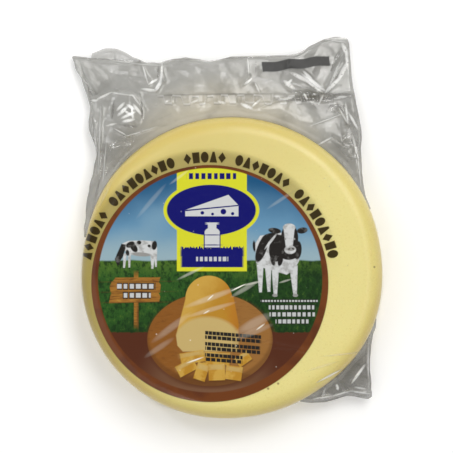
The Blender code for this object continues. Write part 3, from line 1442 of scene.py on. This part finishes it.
    def churn(self, picture: Picture) -> None:
        """Paints a plain milk churn standing on the bar."""
        plan, ink = picture.plan, self.ink
        for swell, colour in ((0.5, ink.navy), (0.0, ink.white)):
            picture.paint(colour, plan.box((-9.6, 13.9), (3.7 + swell, 3.9 + swell)))
            picture.paint(colour, plan.oval((-9.6, 17.6), (3.7 + swell, 2.3 + swell)))
            picture.paint(colour, plan.box((-9.6, 20.4), (2.1 + swell, 1.3 + swell)))
            picture.paint(colour, plan.box((-9.6, 21.9), (2.9 + swell, 0.5 + swell)))
        picture.paint(ink.navy, plan.box((-9.6, 16.2), (3.7, 0.25)))
        picture.paint(ink.navy, plan.box((-9.6, 11.2), (3.7, 0.25)))

    def cow(self, picture: Picture, parts: Iterable[Union[Blot, Patch]]) -> None:
        """Paints a plain black and white cow.

        Args:
            picture: The picture.
            parts: Its shapes, in painting order.
        """
        plan, ink, graph = picture.plan, self.ink, picture.plan.graph
        ragged = graph.noise(plan.place, 2.5, 2.0)
        white = graph.mix(ink.white, ink.grey, ragged.ramp(0.42, 0.7) * 0.7)
        black = graph.mix(ink.black, ink.grey, ragged.ramp(0.52, 0.8) * 0.35)
        tones = {Coat.WHITE: white, Coat.GREY: ink.grey, Coat.BLACK: black}
        for part in parts:
            picture.paint(tones[part.tone], part.mask(plan))

    def sign(self, picture: Picture) -> None:
        """Paints the plain wooden sign on its post."""
        plan, ink, graph = picture.plan, self.ink, picture.plan.graph
        grain = graph.noise(plan.stretched((0.15, 1.0)), 0.9, 3.0, 0.6, 0.6)
        wood = graph.mix(ink.plank, ink.wood_dark, grain.ramp(0.48, 0.68) * 0.7)
        wood = graph.mix(wood, ink.rind_light, grain.ramp(0.44, 0.3) * 0.4)
        picture.paint(wood, plan.box((-47.5, -16.0), (1.1, 13.0)))
        picture.paint(ink.wood_dark, plan.box((-46.7, -23.5), (0.4, 5.6), 0, 0.6) * 0.7)
        for corners in (
            ((-60.0, -8.2), (-36.4, -8.0), (-35.4, -4.9), (-60.2, -5.1), (-58.9, -6.6)),
            (
                (-60.7, -9.6), (-60.2, -12.4), (-35.6, -12.6),
                (-35.2, -8.6), (-36.4, -7.0), (-59.6, -7.0),
            ),
            (
                (-61.0, -17.8), (-36.0, -17.0), (-35.4, -14.6),
                (-36.6, -12.0), (-59.6, -12.0), (-60.4, -14.4),
            ),
        ):
            picture.paint(wood, plan.polygon(corners))
        for height in (-7.1, -12.2, -17.4):
            picture.paint(ink.wood_dark, plan.box((-47.8, height), (12.2, 0.22), 0.6, 0.4) * 0.6)
        for start, end, height in ((-57.0, -37.8, -9.4), (-54.4, -40.2, -13.9)):
            ends = (start, height), (end, height)
            picture.paint(ink.black, self.dashes(plan, *ends, 1.75, 3.2, 0.5) * 0.9)
            picture.paint(ink.white, self.dashes(plan, *ends, 1.15, 3.2) * 0.9)

    def caption(self, picture: Picture) -> None:
        """Paints rows of plain dashes where small words would be."""
        plan, ink = picture.plan, self.ink
        for start, end, height, half, pitch in (
            (14.6, 43.0, -16.7, 0.45, 1.5), (18.6, 42.0, -19.9, 1.0, 2.2),
            (19.0, 41.6, -23.4, 1.0, 2.5), (22.0, 38.4, -26.9, 1.0, 2.3),
        ):
            ends = (start, height), (end, height)
            picture.paint(ink.black, self.dashes(plan, *ends, half + 0.5, pitch, 0.4) * 0.6)
            picture.paint(ink.white, self.dashes(plan, *ends, half, pitch) * 0.85)

    def dashes(
        self, plan: Plan, start: Point, end: Point, half: float, pitch: float, spread: float = 0.0
    ) -> Value:
        """A mask of a row of plain upright blocks of uneven width.

        Args:
            plan: Where they lie.
            start: The row's left end.
            end: Its right end.
            half: Half the blocks' height.
            pitch: The distance between their middles.
            spread: How much wider than usual each one is.

        Returns:
            The mask.
        """
        graph = plan.graph
        rise = (end[1] - start[1]) / (end[0] - start[0])
        line = abs(plan.y - plan.x * rise - (start[1] - start[0] * rise))
        station = plan.x / pitch
        cell = graph.math("FLOOR", station)
        waves = graph.math("SINE", cell * self.uneven_turn)
        uneven = graph.math("FRACT", waves * self.uneven_scale)
        away = abs(graph.math("FRACT", station) - 0.5) * pitch
        wide = (uneven * 0.14 + (0.26 + spread / pitch)) * pitch - away
        inside = plan.x.above(start[0], 0.3) * plan.x.below(end[0], 0.3)
        return wide.above(0.0, 0.3) * line.below(half, 0.3) * inside

    def marks(self, plan: Plan) -> Value:
        """A mask of the plain marks that run round the picture in five groups."""
        graph = plan.graph
        centre = self.ring_centre
        turn = graph.math("ARCTAN2", plan.y - centre[1], plan.x - centre[0])
        reach = plan.distance(centre)
        degrees = turn * (180 / math.pi)
        station = (degrees - self.marks_start) / self.marks_pitch
        cell = graph.math("FLOOR", station)
        width = math.radians(self.marks_pitch) * self.marks_radius
        along = (station - cell - 0.5) * (width / 1.95)
        across = (reach - self.marks_radius) / 2.75
        oval = graph.math("MULTIPLY_ADD", along, along, across * across)
        block = (abs(along) * 1.1).at_least(abs(across))
        diamond = abs(along) + abs(across)
        hill = (abs(along) * 1.4 + across * 0.55 + 0.1).at_least(abs(across))
        kind = cell - graph.math("FLOOR", cell / 4.0) * 4.0
        shape = oval
        for index, other in ((1, block), (2, diamond), (3, hill)):
            chosen = graph.math("COMPARE", kind, float(index), 0.5)
            shape = shape + (other - shape) * chosen
        mask = shape.below(1.0, 0.2)
        groups: Optional[Value] = None
        for start, end in ((0, 9), (10, 17), (18, 23), (24, 33), (34, 40)):
            group = abs(station - (start + end) / 2).below((end - start) / 2, 0.05)
            groups = group if groups is None else groups.at_least(group)
        return mask * groups

    def date_code(self, plan: Plan) -> Value:
        """A mask of the short black bars where a date code would be."""
        mask: Optional[Value] = None
        for row, end in enumerate((14.8, 14.3, 5.6)):
            height = self.code_top - self.code_spacing * row
            ends = tuple((x, height - self.code_slope * x) for x in (self.code_left, end))
            for shift, pitch in ((1.1, 1.9), (-1.1, 2.4)):
                lifted = [(x, y + shift) for x, y in ends]
                bars = self.dashes(plan, *lifted, 0.9, pitch + 0.09 * row, 0.26)
                mask = bars if mask is None else mask.at_least(bars)
        return mask

    def paint_all(self, plan: Plan) -> tuple[Any, Value]:
        """Paints the whole print.

        Args:
            plan: Where it lies.

        Returns:
            Its colour and its cover.
        """
        ink, graph = self.ink, plan.graph
        picture = Picture(plan, ink.sky_mid)
        self.landscape(picture)
        self.sign(picture)
        self.cow(picture, COW_GRAZING)
        self.cow(picture, COW_STANDING)
        self.caption(picture)
        self.board(picture)
        self.cheese(picture)
        self.panel(picture)
        ring = plan.distance(self.picture_centre).above(self.picture_radius, 0.5)
        soft = graph.noise(plan.place, 12.5, 2.0)
        brown = graph.mix(ink.brown, ink.brown_dark, soft.ramp(0.45, 0.7) * 0.7)
        picture.paint(brown, ring)
        picture.paint(ink.black, self.date_code(plan))
        reach = plan.distance(self.ring_centre)
        inside = reach.below(self.ring_radius, 0.4)
        halo = self.halo(plan, reach)
        marks = self.marks(plan)
        outer = graph.mix(ink.khaki, ink.olive, marks)
        colour = graph.mix(outer, picture.colour, inside)
        cover = inside.at_least(halo.at_least(marks * 0.92))
        return colour, cover

    def halo(self, plan: Plan, reach: Value) -> Value:
        """A mask of the soft shade that lies under the marks."""
        graph = plan.graph
        upward = (plan.y * 0.8 - plan.x * 0.45).ramp(-40, 30)
        return reach.ramp(69.0, 63.5) * (upward * 0.34)


@dataclass(frozen=True)
class PrintedFilmFinish:
    """Clear film tight on the slice, with the print on its front and painted highlights along its
    wrinkles and on tiny bubbles.
    """

    clear: Colour = srgb(226, 216, 165)
    gleam: Colour = srgb(250, 248, 235)
    printing: Print = field(default_factory=Print)
    cover: float = 0.07

    def material(self, high: float) -> bpy.types.Material:
        """Builds the material.

        Args:
            high: The film's highest level, in metres.

        Returns:
            The material.
        """
        graph = Graph("printed_film")
        plan = Plan(graph)
        colour, cover = self.printing.paint_all(plan)
        level = high / MM
        facing = plan.z.above(level - 9.5, 2.0)
        cover = cover * facing
        grain = graph.noise(plan.place, 2, 3.0, 0.6)
        cloudy = graph.noise(plan.place, 20, 3.0)
        # Tiny bubbles in the film, painted as bright highlight dots.
        dots = graph.add("TexVoronoi", None, {"Vector": plan.place, "Scale": 160.0})
        bubble_glint = Value(graph, dots.outputs["Distance"]).below(0.055, 0.05) * cloudy.above(0.52, 0.1)
        colour = graph.mix(self.clear, colour, cover.ramp(0.0, 0.12))
        glint: Optional[Value] = None
        # Painted highlights along the film's wrinkles, which also make the film more opaque there.
        for streak in PRINTED_FILM_GLINTS:
            mask = streak.mask(plan)
            colour = graph.mix(colour, self.gleam, mask)
            glint = mask if glint is None else glint.at_least(mask)
        colour = graph.mix(colour, self.gleam, bubble_glint * 0.5)
        total = cover.at_least(self.cover) + bubble_glint * 0.3 + glint * 0.7
        graph.feed(
            Base_Color=colour, Alpha=total.at_most(1.0), Roughness=0.12 + grain * 0.14,
            Specular_IOR_Level=0.3,
        )
        wrinkles = graph.noise(plan.stretched((0.35, 1.0), -28), 3.4, 2.0, 0.5, 0.5)
        graph.bump(cloudy * 0.6 + grain * 0.2 + wrinkles * 0.35, 0.3 * MM, 0.6)
        return graph.material


@dataclass(frozen=True)
class FloorFinish:
    """A plain pale floor."""

    colour: Colour = srgb(250, 250, 250)

    def material(self) -> bpy.types.Material:
        """Builds the material."""
        graph = Graph("floor")
        coordinates = graph.add("TexCoord")
        cloudy = graph.noise(coordinates.outputs["Object"], 3.0, 2.0)
        graph.feed(
            Base_Color=self.colour, Roughness=0.6 + cloudy * 0.1,
            Emission_Color=self.colour, Emission_Strength=0.16,
        )
        return graph.material


# --------------------------------------------------------------------------
# The bag's loose film
# --------------------------------------------------------------------------

TOP_OUTLINE: tuple[Point, ...] = (
    (70.5, 29), (67.8, 36), (66.9, 41), (65.6, 48.4), (65.3, 58.7), (65.8, 68.7),
    (64.4, 77), (62.4, 87), (60.6, 96), (59.9, 105), (59.4, 112.5), (58.4, 115.8),
    (54, 116.2), (50.3, 115.9), (46.3, 115.0), (41.5, 112.6), (37.3, 109.9), (33, 107.8),
    (28.8, 107.0), (19, 106.8), (10, 106.8), (4, 106.4), (0, 106.2), (-6, 104.7),
    (-11.7, 103.9), (-17, 105.1), (-23.2, 105.6), (-30, 105.0), (-36, 103.3), (-45.7, 103.4),
    (-58, 104.6), (-70, 105.6), (-80.5, 106.7), (-78.6, 100), (-76.3, 95.9), (-73.2, 86.5),
    (-71.2, 79.4), (-71.9, 74), (-71.7, 69), (-70, 64.5), (-68.3, 60.5), (-68.0, 57.5),
    (-69.3, 50), (-71.4, 41), (-73.1, 29), (-74.4, 15),
)
CORNER_OUTLINE: tuple[Point, ...] = (
    (34.8, -67.6), (40.3, -68.4), (47.6, -68.0), (51.5, -66.9), (54.8, -65.8), (58.5, -65.0),
    (62.1, -65.2), (65.5, -66.3), (68.6, -66.6), (70.6, -65.4), (71.0, -63), (70.4, -58),
    (69.6, -52), (69.9, -46.5), (70.8, -39), (71.6, -33), (73.4, -26),
)
TOP_FOLDS = (
    Crumple(3, 0.065, 34, 9),
    SealPockets(),
    Pillow((-52.7, 79.5), (9, 11), 2.6, 15),
    Pillow((-49, 76), (5, 6), 1.0, -20),
    Pillow((34.5, 92.5), (11, 7), 2.2, -25),
    Pillow((-20, 84), (13, 8), 0.8),
    Pillow((60, 68), (5, 12), 1.4, 8),
    Crease((-77.5, 105), (-74.3, 96), -0.9, 0.6),
    Crease((-74.3, 96), (-68.6, 87.5), -0.9, 0.6),
    Crease((-68.7, 86.7), (-58, 89.7), 0.9, 0.7),
    Crease((-58, 89.7), (-47, 87.2), 0.9, 0.7),
    Crease((-47, 87.2), (-42.5, 79), 0.8, 0.7, 0.6),
    Crease((-36.2, 103), (-34.0, 93.7), 1.3, 0.7),
    Crease((-34.0, 93.7), (-37.7, 88.9), 1.3, 0.7),
    Crease((-37.7, 88.9), (-44.8, 89.8), 1.1, 0.7),
    Crease((-45.2, 102), (-41.5, 92), 0.9, 0.7),
    Crease((-50, 95.5), (-41, 94.5), 0.7, 0.7),
    Crease((-65.2, 80), (-66.4, 50), 0.9, 0.6),
    Crease((-68.6, 72), (-66.6, 44), 0.7, 0.6),
    Crease((-62.5, 52), (-69.5, 30), 0.6, 0.6),
    Crease((-58.7, 69.5), (-52.7, 66.2), 0.9, 0.5),
    Crease((-54.0, 65.5), (-28.5, 73), 0.8, 0.5, 0.5),
    Crease((-57.0, 62.8), (-36, 64.5), 0.6, 0.5, 0.4),
    Crease((47.3, 87.4), (58.8, 113.5), 1.7, 0.8),
    Crease((47.3, 87.4), (56.4, 102), 1.1, 0.7, 0.3),
    Crease((47.3, 87.4), (29.5, 99.8), 1.4, 0.8, 0.2),
    Crease((45.5, 87.6), (27.5, 93.0), 1.1, 0.7, 0.5),
    Crease((46.5, 88), (36.5, 98.5), 0.9, 0.7, 0.3),
    Crease((43, 86.5), (33, 84.5), 0.8, 0.7, 0.5),
    Crease((48.5, 86.5), (60.5, 89), 0.9, 0.7, 0.4),
    Crease((25, 84.3), (60.5, 86.2), -1.2, 1.1),
    Crease((14.3, 80.3), (25.3, 84.4), 0.9, 0.7),
    Crease((57.8, 82), (58.5, 72), 1.3, 0.7),
    Crease((54.2, 80), (58.5, 72), 1.0, 0.6),
    Crease((58.5, 72), (62.5, 75.5), 1.0, 0.6),
    Crease((40.3, 71.2), (54, 76.4), 0.7, 0.5),
    Crease((43.5, 61.2), (50.5, 65.4), 0.9, 0.6),
    Crease((50.5, 65.4), (58, 60), 0.6, 0.6, 0.5),
    Crease((6.0, 91.5), (9.2, 96.5), 0.9, 0.6),
    Crease((12.0, 92), (14.0, 88), 0.7, 0.6),
    Crease((8.0, 105.5), (8.8, 96), 0.5, 0.5),
    Crease((29, 106), (27.5, 98), 0.6, 0.5, 0.5),
    Crease((63.2, 60), (65.0, 40), 0.8, 0.6),
)
TOP_BACK_FOLDS = (
    Crumple(14, 0.10, 30, 9),
    Crease((-78, 104), (-46, 100), 0.8, 0.8),
    Crease((-60, 110), (-56, 70), 0.8, 0.9),
)
CORNER_FOLDS = (
    Crumple(31, 0.14, 16, 6),
    Crease((66.9, -49.5), (60.6, -58.2), 1.3, 0.7),
    Crease((68.6, -41), (69.0, -55), 0.9, 0.6),
    Crease((66.5, -40), (63.2, -42.5), 1.0, 0.6),
    Crease((60.6, -58.2), (68.8, -60), 0.9, 0.6, 0.3),
    Crease((52.6, -58.5), (53.8, -61.8), 1.0, 0.7),
    Crease((41, -66.2), (51, -64.6), 0.9, 0.6),
    Crease((51, -64.6), (60, -62.2), 0.9, 0.6),
    Crease((60, -62.2), (69, -63.6), 0.9, 0.6),
    Crease((47, -60.5), (45.5, -66), 0.8, 0.6),
    Pillow((63, -55), (6, 8), 1.2, -30),
)
CORNER_BACK_FOLDS = (Crumple(44, 0.14, 14, 6),)
# Painted highlights on the loose film, along its creases and blisters.
FILM_GLINTS = (
    Streak((-34.9, 102.0), (-35.6, 93.0), 1.0, 0.9),
    Streak((-35.6, 93.4), (-38.4, 88.7), 1.4, 1.0),
    Streak((-38.0, 88.8), (-44.8, 89.7), 1.1, 0.9),
    Streak((-41.5, 92.2), (-37.4, 94.7), 0.9, 0.8),
    Streak((-44.6, 101.0), (-42.0, 92.4), 0.6, 0.5),
    Streak((-49.6, 102.6), (-36.0, 101.6), 0.5, 0.4),
    Streak((-57.0, 76.4), (-52.4, 80.6), 1.4, 0.9),
    Streak((-55.0, 75.0), (-48.6, 78.0), 1.2, 0.9),
    Streak((-52.4, 81.6), (-48.4, 79.2), 1.3, 0.9),
    Streak((-53.6, 78.6), (-50.0, 76.0), 1.0, 0.8),
    Streak((-50.2, 80.4), (-49.6, 74.6), 0.8, 0.8),
    Streak((-54.5, 73.2), (-49.0, 74.2), 1.2, 0.9),
    Streak((-49.2, 81.8), (-45.6, 77.0), 1.2, 0.9),
    Streak((-57.5, 79.0), (-54.0, 82.6), 1.2, 0.8),
    Streak((-67.6, 84.6), (-60.7, 88.0), 0.9, 0.7),
    Streak((-60.7, 88.0), (-50.0, 86.4), 0.6, 0.5),
    Streak((-49.6, 86.2), (-46.4, 82.0), 0.7, 0.6),
    Streak((-62.8, 71.2), (-58.2, 72.2), 0.8, 0.6),
    Streak((-70.6, 84.0), (-67.4, 84.0), 0.8, 0.6),
    Streak((-66.0, 79.0), (-66.8, 50.0), 0.5, 0.5),
    Streak((-69.0, 70.0), (-68.0, 56.0), 0.6, 0.5),
    Streak((-63.0, 62.0), (-64.5, 44.0), 0.5, 0.4),
    Streak((-58.7, 69.5), (-52.7, 66.2), 0.6, 0.6),
    Streak((-54.0, 65.5), (-38.0, 70.4), 0.5, 0.35),
    Streak((56.0, 112.6), (58.6, 107.0), 1.6, 0.8),
    Streak((57.6, 110.0), (59.0, 100.0), 1.2, 0.7),
    Streak((47.8, 88.2), (54.6, 95.4), 1.5, 1.0),
    Streak((53.6, 94.0), (58.8, 103.6), 1.6, 0.8),
    Streak((50.0, 92.4), (54.6, 102.8), 0.8, 0.6),
    Streak((36.4, 96.6), (46.6, 89.2), 1.5, 1.0),
    Streak((38.4, 93.0), (45.4, 88.4), 0.9, 0.9),
    Streak((30.6, 97.6), (40.6, 92.6), 1.6, 0.7),
    Streak((26.8, 93.6), (31.4, 90.0), 1.6, 0.9),
    Streak((27.6, 91.6), (30.4, 94.4), 1.0, 0.8),
    Streak((36.5, 98.5), (41.0, 94.0), 1.2, 0.8),
    Streak((24.0, 84.2), (31.0, 85.4), 1.0, 0.7),
    Streak((38.2, 84.4), (36.6, 87.4), 0.8, 0.8),
    Streak((44.6, 83.0), (46.2, 86.6), 0.8, 0.6),
    Streak((51.6, 84.8), (58.6, 86.0), 0.9, 0.5),
    Streak((5.1, 82.0), (10.4, 79.6), 1.4, 0.9),
    Streak((10.4, 80.6), (14.4, 84.2), 0.8, 0.6),
    Streak((6.8, 92.0), (10.1, 94.8), 0.9, 0.8),
    Streak((12.0, 92.4), (14.0, 88.4), 0.7, 0.6),
    Streak((-6.6, 83.4), (-3.0, 82.4), 0.9, 0.6),
    Streak((-20.0, 82.6), (-17.0, 84.0), 0.8, 0.5),
    Streak((8.2, 105.0), (8.8, 97.0), 0.4, 0.5),
    Streak((59.3, 77.4), (63.6, 69.6), 1.0, 0.8),
    Streak((57.6, 82.0), (58.6, 73.0), 0.8, 0.8),
    Streak((54.2, 80.0), (58.4, 72.4), 0.7, 0.6),
    Streak((61.0, 66.0), (63.6, 56.0), 0.9, 0.6),
    Streak((63.2, 60.0), (65.0, 42.0), 0.6, 0.5),
    Streak((43.5, 61.4), (50.5, 65.2), 0.7, 0.6),
    Streak((40.3, 71.2), (54.0, 76.4), 0.4, 0.5),
    Streak((66.9, -49.5), (60.8, -57.8), 1.1, 0.9),
    Streak((68.7, -41.0), (69.0, -55.0), 0.6, 0.6),
    Streak((52.8, -58.8), (53.6, -61.8), 1.2, 0.9),
    Streak((41.0, -66.2), (51.0, -64.8), 0.7, 0.7),
    Streak((51.0, -64.8), (60.0, -62.4), 0.7, 0.7),
    Streak((60.0, -62.4), (69.0, -63.8), 0.7, 0.7),
    Streak((62.0, -60.4), (67.4, -61.4), 0.8, 0.6),
    Streak((47.0, -60.8), (45.6, -65.4), 0.8, 0.5),
)
# Painted shade on the loose film, along its folds and edges and in the band under the seal.
FILM_SHADES = (
    Streak((25.0, 84.6), (60.0, 86.4), 3.0, 0.85),
    Streak((-72.6, 92.0), (-70.0, 80.0), 0.7, 0.5),
    Streak((-30.0, 104.6), (30.0, 106.4), 0.5, 0.5),
    Streak((59.6, 112.0), (65.4, 78.0), 0.6, 0.5),
    Streak((36.0, -68.0), (52.0, -67.0), 0.6, 0.6),
    Streak((40.0, 81.6), (58.0, 80.0), 5.0, 0.4),
    Streak((28.0, 88.6), (46.0, 87.2), 1.6, 0.5),
    Streak((-78.0, 105.4), (-30.0, 103.6), 0.7, 0.5),
    Streak((-74.0, 95.0), (-70.0, 86.0), 0.8, 0.5),
    Streak((-45.4, 83.6), (-44.6, 74.0), 1.0, 0.6),
    Streak((-59.4, 83.0), (-60.2, 74.0), 0.9, 0.5),
    Streak((-56.0, 71.6), (-48.0, 70.6), 1.0, 0.5),
    Streak((-36.8, 101.6), (-37.2, 95.0), 0.8, 0.5),
    Streak((-37.0, 86.4), (-20.0, 86.8), 0.8, 0.4),
    Streak((-20.0, 86.8), (20.0, 87.2), 0.8, 0.4),
    Streak((50.4, 99.0), (55.4, 110.0), 1.6, 0.4),
    Streak((12.4, 103.6), (12.2, 98.0), 0.6, 0.5),
    Streak((-66.0, 45.0), (-71.0, 22.0), 1.0, 0.5),
    Streak((-70.4, 78.0), (-68.4, 62.0), 0.8, 0.4),
    Streak((65.4, 80.0), (66.0, 60.0), 0.9, 0.5),
    Streak((56.0, 100.0), (49.0, 88.0), 1.0, 0.5),
    Streak((70.0, -40.0), (67.0, -52.0), 1.6, 0.5),
    Streak((44.0, -66.8), (68.0, -65.0), 0.8, 0.6),
    Streak((56.0, -57.0), (64.0, -47.0), 3.0, 0.4),
)


# --------------------------------------------------------------------------
# The studio
# --------------------------------------------------------------------------


@dataclass(frozen=True)
class Lamp:
    """A soft rectangular light, in metres and watts."""

    name: str
    place: tuple[float, float, float]
    size: tuple[float, float]
    power: float
    tint: tuple[float, float, float] = (1.0, 1.0, 1.0)

    def build(self, target: Vector) -> None:
        """Hangs the light and turns it to the object."""
        data = bpy.data.lights.new(self.name, "AREA")
        data.shape = "RECTANGLE"
        data.size, data.size_y = self.size
        data.energy = self.power
        data.color = self.tint
        lamp = bpy.data.objects.new(self.name, data)
        lamp.location = self.place
        lamp.rotation_euler = (target - lamp.location).to_track_quat("-Z", "Y").to_euler()
        bpy.context.scene.collection.objects.link(lamp)


@dataclass(frozen=True)
class Studio:
    """The floor, the lights and the camera above."""

    lamps: tuple[Lamp, ...] = (
        Lamp("key", (0.45, 0.6, 1.25), (0.8, 0.8), 8.2, (1.0, 0.985, 0.95)),
        Lamp("fill", (-0.9, -0.5, 1.2), (1.2, 1.2), 4.2),
        Lamp("tube_north_east", (0.30, 0.45, 1.25), (0.03, 0.6), 1.1),
        Lamp("tube_north_west", (-0.40, 0.35, 1.2), (0.03, 0.6), 1.1),
        Lamp("tube_east", (0.55, -0.15, 1.1), (0.03, 0.6), 1.0),
        Lamp("tube_south", (-0.15, -0.55, 1.1), (0.03, 0.6), 1.0),
        Lamp("tube_far_west", (-0.8, 0.6, 0.9), (0.04, 0.6), 1.2),
        Lamp("tube_far_north", (0.1, 0.9, 0.9), (0.04, 0.6), 1.2),
    )
    ambient: float = 0.24
    camera_height: float = 2.0
    camera_level: float = 0.025
    view_side: float = 226.5 * MM
    view_centre: tuple[float, float] = (-2.45 * MM, 20.4 * MM)
    sensor: float = 36.0

    def build(self) -> None:
        """Makes the floor, the lights, the surroundings and the camera."""
        bm = bmesh.new()
        bmesh.ops.create_grid(bm, x_segments=1, y_segments=1, size=3.0)
        mesh = bpy.data.meshes.new("floor")
        bm.to_mesh(mesh)
        bm.free()
        mesh.materials.append(FloorFinish().material())
        floor = bpy.data.objects.new("floor", mesh)
        bpy.context.scene.collection.objects.link(floor)
        for lamp in self.lamps:
            lamp.build(Vector((0, 0.02, 0)))
        world = bpy.data.worlds.new("surroundings")
        world.use_nodes = True
        world.node_tree.nodes["Background"].inputs["Strength"].default_value = self.ambient
        world.node_tree.nodes["Background"].inputs["Color"].default_value = (1, 1, 1, 1)
        bpy.context.scene.world = world
        data = bpy.data.cameras.new("camera")
        distance = self.camera_height - self.camera_level
        data.sensor_width = self.sensor
        data.lens = self.sensor * distance / self.view_side
        camera = bpy.data.objects.new("camera", data)
        camera.location = (*self.view_centre, self.camera_height)
        bpy.context.scene.collection.objects.link(camera)
        bpy.context.scene.camera = camera
        bpy.context.scene.view_settings.view_transform = "Standard"


def main() -> None:
    """Builds the pieces and the studio."""
    logging.basicConfig(level=logging.INFO, format="%(name)s: %(message)s")
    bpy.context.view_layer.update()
    low, high = (corner.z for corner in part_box("bag"))
    shape = SliceShape()
    rind_gap, film_gap, loose_gap = 0.3 * MM, 0.05 * MM, 0.1 * MM
    seam = 13 * MM
    cheese = CheeseFinish().material(shape)
    CheeseSlice(shape, low + rind_gap, high - rind_gap, cheese).build()
    HuggingFilm(
        shape, low + film_gap, high - film_gap, seam, PrintedFilmFinish().material(high)
    ).build()
    loose = LooseFilmFinish().material()
    LooseFilm(
        "loose_top", shape, seam, low + loose_gap, loose, TOP_OUTLINE,
        {Web.FRONT: TOP_FOLDS, Web.BACK: TOP_BACK_FOLDS},
        520, {Web.FRONT: 112, Web.BACK: 60}, mouth=(0.268, 0.678),
    ).build()
    LooseFilm(
        "loose_corner", shape, seam, low + loose_gap, loose, CORNER_OUTLINE,
        {Web.FRONT: CORNER_FOLDS, Web.BACK: CORNER_BACK_FOLDS},
        190, {Web.FRONT: 60, Web.BACK: 30}, seed=22,
    ).build()
    Studio().build()


if __name__ == "__main__":
    main()
